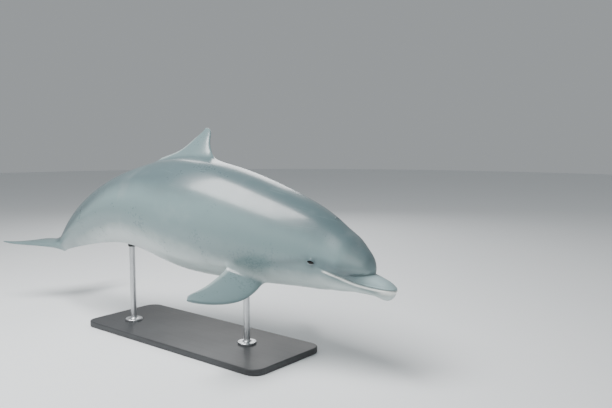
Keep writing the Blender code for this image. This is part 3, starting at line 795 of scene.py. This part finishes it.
def belly_relief(s, folded, radius):
    """The throat's faint folds, the navel and the slits under the tail."""
    off = (folded + math.pi / 2) * radius
    slits = -0.0024 * bell(off, 0.0045) * sum(ease(np.abs(s - at), *ends) for at, *ends in SLITS)
    rims = 0.0016 * bell(off - 0.011, 0.007) * ease(np.abs(s - 1.745), 0.095, 0.060)
    navel = -0.0020 * bell(np.hypot((s - NAVEL_AT) / 1.6, off), 0.0075)
    folds = sum(-0.0007 * bell(s - at - 0.02 * folded, 0.0045) for at in THROAT_FOLDS)
    return slits + rims + navel + folds * ease(folded, 0.5, -0.3)


def wrap(angle):
    """The same angle between -180 and 180 degrees."""
    return np.arctan2(np.sin(angle), np.cos(angle))


def folded_angles(angle):
    """Angles of both sides told as on the left, from -90 degrees at the belly to +90 degrees at the back."""
    return np.arcsin(np.clip(np.sin(wrap(angle)), -1, 1))


def carve(s, angle, points, normals):
    """Move the net's points along their normals to give the skin its features."""
    radius = np.linalg.norm(points - middle_of(s[:, 0])[:, None], axis=-1)
    folded = folded_angles(angle)
    line = angle[:, :1]
    above = (folded - line) * radius
    relief = lip_relief(s, above, radius) * (s < JAW_END)
    relief += belly_relief(s, folded, radius)
    beak = s[:, 0] < CREASE_END
    relief[beak] += crease_relief(s[beak], angle[beak])
    for side in (1, -1):
        near = np.abs(s[:, 0] - EYE_AT) < 0.08
        relief[near] += eye_relief(points[near], side) * (np.sign(np.cos(angle[near])) == side)
        relief[near] += ear_relief(points[near], side)
    near = np.abs(s[:, 0] - BLOWHOLE_AT) < 0.12
    relief[near] += blowhole_relief(points[near]) * (np.sin(angle[near]) > 0.5)
    return points + normals * relief[..., None]


# ---- joining the fins to the body ----

def signed_distances(tree, points, limit):
    """Distances to a closed surface, below 0 inside it; points beyond the limit get the limit."""
    found = np.full(len(points), limit)
    for i, point in enumerate(points):
        near, normal, _, distance = tree.find_nearest(point, limit)
        if near is not None:
            found[i] = math.copysign(distance, (Vector(point) - near) @ normal)
    return found


def fillet(mesh, tree, box):
    """Swell a mesh near another one, so that the two meet in a soft valley."""
    points = vertex_values(mesh, "co")
    index = in_box(points, box, FIN_FILLET)
    away = np.abs(signed_distances(tree, points[index], FIN_FILLET))
    swell = np.maximum(FIN_FILLET - away, 0) ** 2 / (4 * FIN_FILLET)
    points[index] += vertex_values(mesh, "normal")[index] * swell[:, None]
    set_points(mesh, points)


def unite(piece, fin):
    """Join a fin to the body's skin."""
    union = piece.modifiers.new("Union", "BOOLEAN")
    union.operation = "UNION"
    union.solver = "MANIFOLD"
    union.object = fin
    bpy.context.view_layer.update()
    mesh = bpy.data.meshes.new_from_object(piece.evaluated_get(bpy.context.evaluated_depsgraph_get()))
    piece.modifiers.remove(union)
    piece.data = mesh
    bpy.data.objects.remove(fin)


def smooth_joins(mesh, body_tree, fin_trees):
    """Even out the skin near the lines where the fins were joined."""
    points = vertex_values(mesh, "co")
    joins = [
        i for tree, box in fin_trees for i in in_box(points, box)
        if body_tree.find_nearest(points[i], ON_SKIN)[0] and tree.find_nearest(points[i], ON_SKIN)[0]
    ]
    finder = finder_of(points[joins])
    weight = np.zeros(len(points))
    for _, box in fin_trees:
        for i in in_box(points, box, JOIN_REACH):
            weight[i] = ease(finder.find(points[i])[2], JOIN_REACH, JOIN_REACH * 0.3)
    edges = np.empty(len(mesh.edges) * 2, np.int32)
    mesh.edges.foreach_get("vertices", edges)
    one, two = edges.reshape(-1, 2).T
    keep = (weight[one] > 0) | (weight[two] > 0)
    one, two = one[keep], two[keep]
    active = np.nonzero(weight > 0)[0]
    count = np.bincount(one, minlength=len(points)) + np.bincount(two, minlength=len(points))
    for _ in range(JOIN_ROUNDS):
        total = np.stack([
            np.bincount(one, axis[two], len(points)) + np.bincount(two, axis[one], len(points))
            for axis in points.T
        ], -1)
        mean = total[active] / count[active, None]
        points[active] += (mean - points[active]) * (0.6 * weight[active, None])
    set_points(mesh, points)


# ---- marking the skin ----

cape_edge, belly_edge = smooth_curve(CAPE_EDGE), smooth_curve(BELLY_EDGE)


def fin_rims(points, away, fins):
    """1 along the fins' trailing edges, and 0 away from them."""
    rim = np.zeros(len(points))
    chord, _ = aerofoil(FIN_SIDE)
    for rings in fins:
        flat = rings.reshape(-1, 3)
        finder = finder_of(flat)
        for i in in_box(points, box_of(flat), 0.01):
            if away[i] > FIN_START:
                _, at, gap = finder.find(points[i])
                if gap < FIN_NEAR:
                    rim[i] = ease(chord[at % rings.shape[1]], 0.80, 0.985)
    return rim


def eye_marks(points, along, facing):
    """The dark mask round the eyes with its stripes, and the pale rim under the lower lid."""
    mask, lid = np.zeros(len(points)), np.zeros(len(points))
    for side in (1, -1):
        a, b, _ = eye_spot(side).local(points)
        here = np.sign(np.cos(facing)) == side
        patch = bell(np.hypot((a - 0.003) / 1.7, b - 0.001), 0.024)
        stripe = bell(b - 0.12 * (a - 0.02) - 0.006, 0.015) * ease(a, 0.0, 0.04) * ease(a, 0.22, 0.10)
        trail = bell(b + 0.38 * (-a - 0.02), 0.018) * ease(-a, 0.0, 0.03) * ease(-a, 0.26, 0.10)
        dark = np.maximum(np.maximum(patch, stripe * STRIPE_SHARE), trail * TRAIL_SHARE)
        mask += np.where(here & (np.abs(along - EYE_AT) < 0.25), dark, 0)
        pale = bell(lid_opening(a, b) + 0.0026, 0.0012) * ease(b, 0.0, -0.004)
        pale = pale * ease(np.abs(a), 0.018, 0.010)
        lid = np.maximum(lid, np.where(here & (np.abs(along - EYE_AT) < 0.05), LID_SHARE * pale, 0))
    return mask, lid


def mark_skin(mesh, net, fins):
    """Give the skin the numbers that its material reads, from each point's place on the body or a fin."""
    s, angle, base = net
    points = vertex_values(mesh, "co")
    finder = finder_of(base.reshape(-1, 3))
    found = [finder.find(point)[1:] for point in points]
    index, away = np.array([at for at, _ in found]), np.array([gap for _, gap in found])
    along = s.reshape(-1)[index]
    facing = angle.reshape(-1)[index]
    folded = folded_angles(facing)
    radius = skin_radius(along, facing)
    above = (folded - np.interp(along, s[:, 0], angle[:, 0])) * radius
    upward = np.sum(vertex_values(mesh, "normal") * directions(along)[2], axis=-1)
    height = np.sin(folded)
    mask, lid = eye_marks(points, along, facing)
    # painted shade: a dark band just over the mouth line, under the forehead's overhang, laid in with the
    # mask round the eyes
    cheek_shade = ease(above, 0.0005, 0.004) * ease(above, 0.060, 0.022)
    cheek_shade = cheek_shade * ease(along, 0.11, 0.17) * ease(along, 0.37, 0.28)
    roll = bell(above + 0.0066, 0.0050) * ease(along, MOUTH_END + 0.002, MOUTH_END - 0.02) * (along < 0.32)
    # painted shade: the white of the jaw's tip stops 13 to 31 mm under the mouth line, leaving the chin's
    # underside in the darker belly tone
    tip = ease(along, 0.085, 0.030) * ease(above, 0.001, -0.003) * ease(above, -0.031, -0.013)
    carry(mesh, {
        "along": along,
        "girth": wrap(facing + math.pi / 2) * radius,
        "cape": height - cape_edge(along),
        "belly": belly_edge(along) - height,
        "fin": ease(away, 0.0, 0.030),
        "rim": fin_rims(points, away, fins),
        "under": ease(upward, 0.25, -0.35),
        "eye_mask_and_cheek_shade": np.maximum(mask, CHEEK_SHADE_SHARE * cheek_shade),
        "lip": np.maximum(np.maximum(roll, tip), lid),
        # painted light: the beak's upper side is paler, most toward the tip, where light falls on its shelf
        "beak": ease(along, 0.135, 0.085) * ease(above, -0.002, 0.004),
    })


# ---- materials ----

BLACK, WHITE = (0.0, 0.0, 0.0), (1.0, 1.0, 1.0)
PUPIL = (0.002, 0.003, 0.004)


def arithmetic(operation, mirrored=False):
    """An operator's method that adds a Math node; mirrored, the other value comes first."""

    def method(self, other):
        return self.finish.maths(operation, *((other, self) if mirrored else (self, other)))

    return method


class Flow:
    """A value on its way through a material; arithmetic on it adds Math nodes."""

    def __init__(self, finish, socket):
        self.finish = finish
        self.socket = socket

    __add__, __radd__ = arithmetic("ADD"), arithmetic("ADD", True)
    __sub__, __rsub__ = arithmetic("SUBTRACT"), arithmetic("SUBTRACT", True)
    __mul__, __rmul__ = arithmetic("MULTIPLY"), arithmetic("MULTIPLY", True)

    def step(self, low, high):
        """0 at low and 1 at high, smooth between them."""
        if low > high:
            return 1 - self.step(high, low)
        inputs = {"Value": self, "From Min": low, "From Max": high}
        return self.finish.node("ShaderNodeMapRange", {"interpolation_type": "SMOOTHSTEP"}, inputs, "Result")

    def sway(self, amount):
        """A noise made to go by half an amount to both sides of 0."""
        return (self - 0.5) * amount


class Finish:
    """One material, with the nodes that make its finish."""

    def __init__(self, name, **constants):
        self.material = bpy.data.materials.new(name)
        self.material.use_nodes = True
        self.tree = self.material.node_tree
        self.shader = self.tree.nodes["Principled BSDF"]
        for socket, value in constants.items():
            self.shader.inputs[socket.replace("_", " ")].default_value = value

    def node(self, kind, settings, inputs, output):
        """Add a node of a kind: its settings come first, then its inputs' values or links."""
        node = self.tree.nodes.new(kind)
        for key, value in settings.items():
            setattr(node, key, value)
        for key, value in inputs.items():
            self.feed(node.inputs[key], value)
        return Flow(self, node.outputs[output])

    def feed(self, socket, value):
        if isinstance(value, Flow):
            self.tree.links.new(value.socket, socket)
        elif socket.type == "RGBA" and len(value) == 3:
            socket.default_value = (*value, 1)
        else:
            socket.default_value = value

    def maths(self, operation, *values):
        return self.node("ShaderNodeMath", {"operation": operation}, dict(enumerate(values)), 0)

    def number(self, name):
        """A number that the mesh carries."""
        return self.node("ShaderNodeAttribute", {"attribute_name": name}, {}, "Fac")

    def place(self):
        return self.node("ShaderNodeTexCoord", {}, {}, "Object")

    def pair(self, x, y):
        return self.node("ShaderNodeCombineXYZ", {}, {"X": x, "Y": y, "Z": 0.0}, 0)

    def stretch(self, vector, scale):
        return self.node("ShaderNodeVectorMath", {"operation": "MULTIPLY"}, {0: vector, 1: scale}, 0)

    def noise(self, vector, scale, detail=3.0, roughness=0.55):
        inputs = {"Vector": vector, "Scale": scale, "Detail": detail, "Roughness": roughness}
        return self.node("ShaderNodeTexNoise", {}, inputs, "Fac")

    def mix(self, one, two, share):
        """Colour one where the share is 0 and colour two where it is 1."""
        return self.node("ShaderNodeMix", {"data_type": "RGBA"}, {0: share, 6: one, 7: two}, 2)

    def bump(self, height, distance, strength, below=None):
        inputs = {"Height": height, "Distance": distance, "Strength": strength}
        if below:
            inputs["Normal"] = below
        return self.node("ShaderNodeBump", {}, inputs, "Normal")

    def set(self, **links):
        for socket, value in links.items():
            self.feed(self.shader.inputs[socket.replace("_", " ")], value)
        return self.material


def skin_finish(look):
    """Wet, smooth hide: pale belly, grey flanks and a dark cape, with fine ridges and old scratches."""
    hide = Finish("dolphin_skin", Specular_IOR_Level=0.5, Coat_Roughness=0.12)
    place = hide.place()
    cloudy = hide.noise(place, 5.0, 3.0)
    blotchy = hide.noise(place, 17.0, 4.0)
    fine = hide.noise(place, 90.0, 4.0, 0.6)
    drift = cloudy.sway(0.35) + blotchy.sway(0.14)
    fin = hide.number("fin")
    cape = (hide.number("cape") + drift).step(-0.26, 0.30) * (1 - fin)
    cape = cape + fin * (0.50 - 0.34 * hide.number("under"))
    belly = (hide.number("belly") + drift * 0.7).step(-0.20, 0.22) * (1 - fin)
    rim = (hide.number("rim") + blotchy.sway(0.4)).step(0.35, 0.95) * fin
    colour = hide.mix(look.flank, look.cape, cape)
    for layer, share in (
        (look.belly, belly),
        # painted light on the beak's upper side
        (look.beak, hide.number("beak") * (0.75 + 0.25 * cloudy)),
        # the dark mask round the eyes, which also carries the painted shade over the mouth line
        (look.mask, hide.number("eye_mask_and_cheek_shade") * 0.8),
        (look.lip, hide.number("lip") * 0.92),
        (look.belly, rim * 0.40),
    ):
        colour = hide.mix(colour, layer, share)
    mottle = blotchy.sway(0.34) + fine.sway(0.06) + cloudy.sway(0.75)
    colour = hide.mix(colour, BLACK, (mottle * -1.0).step(0.0, 0.5) * 0.26)
    colour = hide.mix(colour, WHITE, mottle.step(0.0, 0.5) * 0.15)
    lay = hide.pair(hide.number("along"), hide.number("girth"))
    wander = hide.noise(hide.stretch(lay, (7.0, 16.0, 1.0)), 1.0, 2.0)
    streaks = hide.noise(hide.stretch(lay, (4.0, 220.0, 1.0)), 1.0, 0.0, 0.4)
    scratch = (streaks + wander.sway(0.22)).step(0.70, 0.76) * wander.step(0.52, 0.66)
    colour = hide.mix(colour, look.flank, scratch * 0.35)
    ridges = hide.noise(hide.stretch(lay, (420.0, 60.0, 1.0)), 1.0, 1.0)
    return hide.set(
        Base_Color=colour,
        Roughness=0.30 + cloudy.sway(0.16) + fine.sway(0.10) + scratch * 0.15,
        Coat_Weight=0.35 + blotchy.sway(0.3),
        Normal=hide.bump(ridges, 0.00025, 0.35),
    )


def eye_finish(look):
    """A dark wet eye: the iris's rays and outer ring round a crescent pupil."""
    ball = Finish("dolphin_eye", Specular_IOR_Level=0.25, Coat_Roughness=0.04)
    polar, turn = ball.number("polar"), ball.number("turn")
    grain = ball.noise(ball.place(), 700.0, 3.0)
    rays = ball.noise(ball.pair(polar * 3.0, turn * 14.0), 1.0, 3.0)
    iris = polar.step(0.52, 0.47)
    colour = ball.mix(look.white, look.iris, iris)
    colour = ball.mix(colour, look.ring, polar.step(0.36, 0.45) * polar.step(0.53, 0.48) * 0.6)
    colour = ball.mix(colour, BLACK, (rays - 0.45).step(0.0, 0.3) * iris * 0.4)
    colour = ball.mix(colour, PUPIL, ball.number("pupil").step(0.0, 0.04))
    return ball.set(Base_Color=colour, Roughness=0.16 + grain * 0.05, Coat_Weight=0.18)


def board_finish(look):
    """Satin lacquer over a fine-grained board, with a little dust."""
    board = Finish("stand_lacquer", Specular_IOR_Level=0.5, Coat_Roughness=0.18)
    place = board.place()
    grain = board.noise(board.stretch(place, (3.0, 60.0, 60.0)), 1.0, 5.0, 0.6)
    dust = board.noise(place, 260.0, 4.0, 0.65)
    cloud = board.noise(place, 3.5, 3.0)
    colour = board.mix(look.board, BLACK, grain.step(0.45, 0.75) * 0.30)
    colour = board.mix(colour, (0.6, 0.6, 0.6), dust.step(0.60, 0.78) * 0.05)
    bump = board.bump(grain, 0.0004, 0.25)
    bump = board.bump(dust, 0.0002, 0.3, bump)
    rough = 0.52 + cloud.sway(0.14) + dust.sway(0.12)
    return board.set(Base_Color=colour, Roughness=rough, Coat_Weight=0.10, Normal=bump)


def steel_finish(look):
    """Steel turned and brushed round its axis."""
    steel = Finish("stand_steel", Metallic=1.0)
    place = steel.place()
    lines = steel.noise(steel.stretch(place, (18.0, 18.0, 2600.0)), 1.0, 2.0)
    cloud = steel.noise(place, 16.0, 3.0)
    colour = steel.mix(look.steel, (0.25, 0.25, 0.26), (lines - 0.4).step(0.0, 0.5) * 0.35)
    rough = 0.36 + lines.sway(0.16) + cloud.sway(0.12)
    return steel.set(Base_Color=colour, Roughness=rough, Normal=steel.bump(lines, 0.00012, 0.5))


def rubber_finish():
    """Black rubber with a fine grain."""
    rubber = Finish("stand_rubber")
    grain = rubber.noise(rubber.place(), 900.0, 3.0)
    colour = rubber.mix((0.018, 0.018, 0.019), (0.05, 0.05, 0.052), grain.step(0.4, 0.8))
    rough = 0.62 + grain.sway(0.2)
    return rubber.set(Base_Color=colour, Roughness=rough, Normal=rubber.bump(grain, 0.0002, 0.5))


def floor_finish(look):
    """Pale, matt floor, faintly clouded."""
    floor = Finish("studio_floor", Specular_IOR_Level=0.25)
    cloud = floor.noise(floor.place(), 0.8, 3.0)
    colour = floor.mix(look.floor, WHITE, cloud.sway(0.10) + 0.05)
    return floor.set(Base_Color=colour, Roughness=0.62 + cloud.sway(0.1))


# ---- settings ----

def colour_setting(name, description, default):
    return FloatVectorProperty(name=name, description=description, default=default,
                               subtype="COLOR", size=3, min=0, max=1)


class DolphinSkinSettings(bpy.types.PropertyGroup):
    cape: colour_setting("Cape", "Colour of the back and the fins", (0.078, 0.120, 0.130))
    flank: colour_setting("Flank", "Colour of the sides", (0.186, 0.262, 0.268))
    belly: colour_setting("Belly", "Colour of the throat and belly", (0.500, 0.575, 0.565))
    # the beak's paler colour is painted light on its upper side
    beak: colour_setting("Beak", "Colour of the beak's upper side", (0.300, 0.400, 0.415))
    lip: colour_setting("Lip", "Colour of the lower lip and the jaw's tip", (0.860, 0.880, 0.840))
    # the mask's colour is also painted over the mouth line as shade under the forehead
    mask: colour_setting("Mask", "Colour round the eyes", (0.042, 0.074, 0.088))


class DolphinEyeSettings(bpy.types.PropertyGroup):
    iris: colour_setting("Iris", "Colour of the iris", (0.008, 0.005, 0.004))
    ring: colour_setting("Ring", "Colour of the iris's outer ring", (0.004, 0.004, 0.004))
    white: colour_setting("White", "Colour of the ball round the iris", (0.012, 0.011, 0.011))


class DolphinStandSettings(bpy.types.PropertyGroup):
    board: colour_setting("Board", "Colour of the base's lacquer", (0.028, 0.030, 0.033))
    steel: colour_setting("Steel", "Colour of the rods", (0.600, 0.610, 0.620))
    screw: FloatProperty(name="Screw head", description="Diameter of a foot plate's screw heads",
                         default=0.009, min=0.004, max=0.012, subtype="DISTANCE", unit="LENGTH")


class DolphinStageSettings(bpy.types.PropertyGroup):
    floor: colour_setting("Floor", "Colour of the floor", (0.780, 0.800, 0.810))
    light: FloatProperty(name="Light", description="Strength of the studio's lamps",
                         default=1.0, min=0.1, max=4.0)
    lens: FloatProperty(name="Lens", description="Focal length of the camera",
                        default=40.39, min=10, max=200, subtype="DISTANCE_CAMERA", unit="CAMERA")


# ---- operators ----

class DOLPHIN_OT_skin(bpy.types.Operator):
    """Make the skin over the solids of flesh"""

    bl_idname = "dolphin.skin"
    bl_label = "Skin"

    def execute(self, context):
        s, angle, base, normals = body_net()
        body = net_mesh("dolphin_skin", carve(s, angle, base, normals))
        fins = {
            "dorsal": dorsal_rings(),
            "flipper_left": flipper_rings(FLIPPER_LEFT, 1),
            "flipper_right": flipper_rings(FLIPPER_RIGHT, -1),
            "flukes": fluke_rings(),
        }
        meshes = [net_mesh(name, rings) for name, rings in fins.items()]
        boxes = [box_of(rings.reshape(-1, 3)) for rings in fins.values()]
        plain_body = tree_of(body)
        plain_fins = [tree_of(mesh) for mesh in meshes]
        for mesh, plain_fin, box in zip(meshes, plain_fins, boxes):
            fillet(mesh, plain_body, box)
            fillet(body, plain_fin, box)
        body_tree = tree_of(body)
        joined = [(tree_of(mesh), box) for mesh, box in zip(meshes, boxes)]
        skin = add_piece("dolphin_skin", body)
        for mesh in meshes:
            unite(skin, add_piece(mesh.name, mesh))
        smooth_joins(skin.data, body_tree, joined)
        mark_skin(skin.data, (s, angle, base), fins.values())
        skin.data.shade_smooth()
        skin.data.materials.clear()
        skin.data.materials.append(skin_finish(context.scene.dolphin_skin))
        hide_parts(*FLESH)
        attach(skin, "root")
        return {"FINISHED"}


def eyeball(name, side):
    """An eyeball with a raised cornea, its axis pointing out of the head."""
    spot = eye_spot(side)
    polar = np.linspace(0.02, math.pi - 0.02, BALL_ROWS)
    turn = np.linspace(0, 2 * math.pi, BALL_AROUND, endpoint=False)
    p, t = np.meshgrid(polar, turn, indexing="ij")
    radius = EYE_RADIUS + CORNEA_RISE * ease(p, 0.56, 0.30)
    local = np.stack([np.sin(p) * np.cos(t), np.sin(p) * np.sin(t), np.cos(p)], -1) * radius[..., None]
    mesh = net_mesh(name, local @ np.stack([spot.forward, spot.up, spot.out]))
    points = vertex_values(mesh, "co")
    a, b, c = points @ spot.forward, points @ spot.up, points @ spot.out
    across, over = a / EYE_RADIUS, b / EYE_RADIUS
    oval = 0.27 - np.hypot(across, over * 1.7)
    flap = 0.15 - np.hypot(across, (over - 0.10) * 1.3)
    carry(mesh, {
        "polar": np.arctan2(np.hypot(a, b), c),
        "turn": np.arctan2(b, a),
        "pupil": np.minimum(oval, -flap),
    })
    mesh.shade_smooth()
    ball = add_piece(name, mesh)
    ball.location = spot.point - spot.out * (EYE_RADIUS - EYE_PROUD)
    return ball


class DOLPHIN_OT_eyes(bpy.types.Operator):
    """Make the eyeballs between the lids"""

    bl_idname = "dolphin.eyes"
    bl_label = "Eyes"

    def execute(self, context):
        finish = eye_finish(context.scene.dolphin_eyes)
        for node, side in (("eye_left", 1), ("eye_right", -1)):
            ball = eyeball(node + "_ball", side)
            ball.data.materials.append(finish)
            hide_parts(node)
            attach(ball, "root")
        return {"FINISHED"}


def lathe(name, profile, steps, middle):
    """A closed turned piece from a profile of (radius, height), standing at a point."""
    turn = np.linspace(0, 2 * math.pi, steps, endpoint=False)
    rings = np.array([[(r * math.cos(t), r * math.sin(t), z) for t in turn] for r, z in profile])
    piece = add_piece(name, net_mesh(name, rings))
    piece.data.shade_smooth()
    piece.data.set_sharp_from_angle(angle=math.radians(40))
    piece.location = middle
    return piece


def screw_rings(size):
    """Rings of points up a screw head and down its socket."""
    turns = [2 * math.pi * i / SCREW_SIDES for i in range(SCREW_SIDES)]
    sixth = math.pi / 3
    corner = SOCKET_CORNER * size * math.cos(sixth / 2)
    hexagon = [corner / math.cos(turn % sixth - sixth / 2) for turn in turns]
    radii = [[radius * size] * SCREW_SIDES for radius, _ in SCREW_PROFILE] + [hexagon] * len(SOCKET_HEIGHTS)
    heights = [height for _, height in SCREW_PROFILE] + list(SOCKET_HEIGHTS)
    return [
        [Vector((r * math.cos(turn), r * math.sin(turn), height * size)) for r, turn in zip(ring, turns)]
        for ring, height in zip(radii, heights)
    ]


def screw_heads(name, low, high, size):
    """The four screw heads on a rod's foot plate, made as one mesh."""
    middle = (low + high) / 2
    out = (high - low).x / 2 * SCREW_PLACE
    top = low.z + FOOT_TOP - SCREW_SINK
    net = bmesh.new()
    for corner in range(4):
        angle = math.radians(45 + 90 * corner)
        at = Vector((middle.x + math.cos(angle) * out, middle.y + math.sin(angle) * out, top))
        rings = [[net.verts.new(at + point) for point in ring] for ring in screw_rings(size)]
        for near, far in zip(rings, rings[1:]):
            for i in range(SCREW_SIDES):
                k = (i + 1) % SCREW_SIDES
                net.faces.new((near[i], near[k], far[k], far[i]))
        net.faces.new(rings[0][::-1])
        net.faces.new(rings[-1])
    bmesh.ops.recalc_face_normals(net, faces=net.faces)
    mesh = bpy.data.meshes.new(name)
    net.to_mesh(mesh)
    net.free()
    mesh.shade_smooth()
    mesh.set_sharp_from_angle(angle=math.radians(30))
    return add_piece(name, mesh)


class DOLPHIN_OT_stand(bpy.types.Operator):
    """Finish the base and the rods, and add their screws and rubber sleeves"""

    bl_idname = "dolphin.stand"
    bl_label = "Stand"

    def execute(self, context):
        look = context.scene.dolphin_stand
        board, steel, rubber = board_finish(look), steel_finish(look), rubber_finish()
        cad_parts["stand_base"].material_slots[0].material = board
        for end in ("front", "rear"):
            rod = "stand_rod_" + end
            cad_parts[rod].material_slots[0].material = steel
            low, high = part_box(rod)
            screws = screw_heads("stand_screws_" + end, low, high, look.screw)
            screws.data.materials.append(steel)
            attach(screws, "root")
            middle = (low + high) / 2
            at = (middle.x, middle.y, high.z - SLEEVE_BELOW)
            sleeve = lathe("stand_sleeve_" + end, SLEEVE_PROFILE, SLEEVE_SIDES, at)
            sleeve.data.materials.append(rubber)
            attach(sleeve, "root")
        return {"FINISHED"}


class DOLPHIN_OT_stage(bpy.types.Operator):
    """Make the floor, the lamps and the camera"""

    bl_idname = "dolphin.stage"
    bl_label = "Stage"

    def execute(self, context):
        look = context.scene.dolphin_stage
        bpy.ops.mesh.primitive_circle_add(vertices=128, radius=FLOOR_RADIUS, fill_type="NGON")
        floor = context.active_object
        floor.name = "studio_floor"
        floor.data.materials.append(floor_finish(look))
        for name, at, target, side, power in LAMPS:
            lamp = bpy.data.lights.new(name, "AREA")
            lamp.shape = "SQUARE"
            lamp.size = side
            lamp.energy = power * look.light
            light = add_piece(name, lamp)
            light.location = at
            light.rotation_euler = (Vector(target) - light.location).to_track_quat("-Z", "Y").to_euler()
        world = bpy.data.worlds.new("studio")
        world.use_nodes = True
        for key, value in SKY.items():
            world.node_tree.nodes["Background"].inputs[key].default_value = value
        context.scene.world = world
        camera = bpy.data.cameras.new("camera")
        camera.sensor_width = 36
        camera.lens = look.lens
        eye = add_piece("camera", camera)
        eye.location = CAMERA_AT
        eye.rotation_euler = (math.radians(90 - CAMERA_DOWN), 0, math.radians(CAMERA_TURN))
        context.scene.camera = eye
        return {"FINISHED"}


class DOLPHIN_PT_panel(bpy.types.Panel):
    """The dolphin's pieces and the stage, each with its settings"""

    bl_label = "Dolphin"
    bl_idname = "DOLPHIN_PT_panel"
    bl_space_type = "VIEW_3D"
    bl_region_type = "UI"
    bl_category = "Dolphin"

    def draw(self, context):
        for operator, group in PIECES:
            box = self.layout.box()
            box.operator(operator.bl_idname)
            settings = getattr(context.scene, group)
            for key in settings.__annotations__:
                box.prop(settings, key)


PIECES = (
    (DOLPHIN_OT_skin, "dolphin_skin"),
    (DOLPHIN_OT_eyes, "dolphin_eyes"),
    (DOLPHIN_OT_stand, "dolphin_stand"),
    (DOLPHIN_OT_stage, "dolphin_stage"),
)
GROUPS = (DolphinSkinSettings, DolphinEyeSettings, DolphinStandSettings, DolphinStageSettings)
CLASSES = (*GROUPS, *(operator for operator, _ in PIECES), DOLPHIN_PT_panel)


def register():
    for kind in CLASSES:
        bpy.utils.register_class(kind)
    for (_, name), group in zip(PIECES, GROUPS):
        setattr(bpy.types.Scene, name, PointerProperty(type=group))


def unregister():
    for _, name in PIECES:
        delattr(bpy.types.Scene, name)
    for kind in reversed(CLASSES):
        bpy.utils.unregister_class(kind)


def main():
    register()
    bpy.ops.dolphin.skin()
    bpy.ops.dolphin.eyes()
    bpy.ops.dolphin.stand()
    bpy.ops.dolphin.stage()


if __name__ == "__main__":
    main()
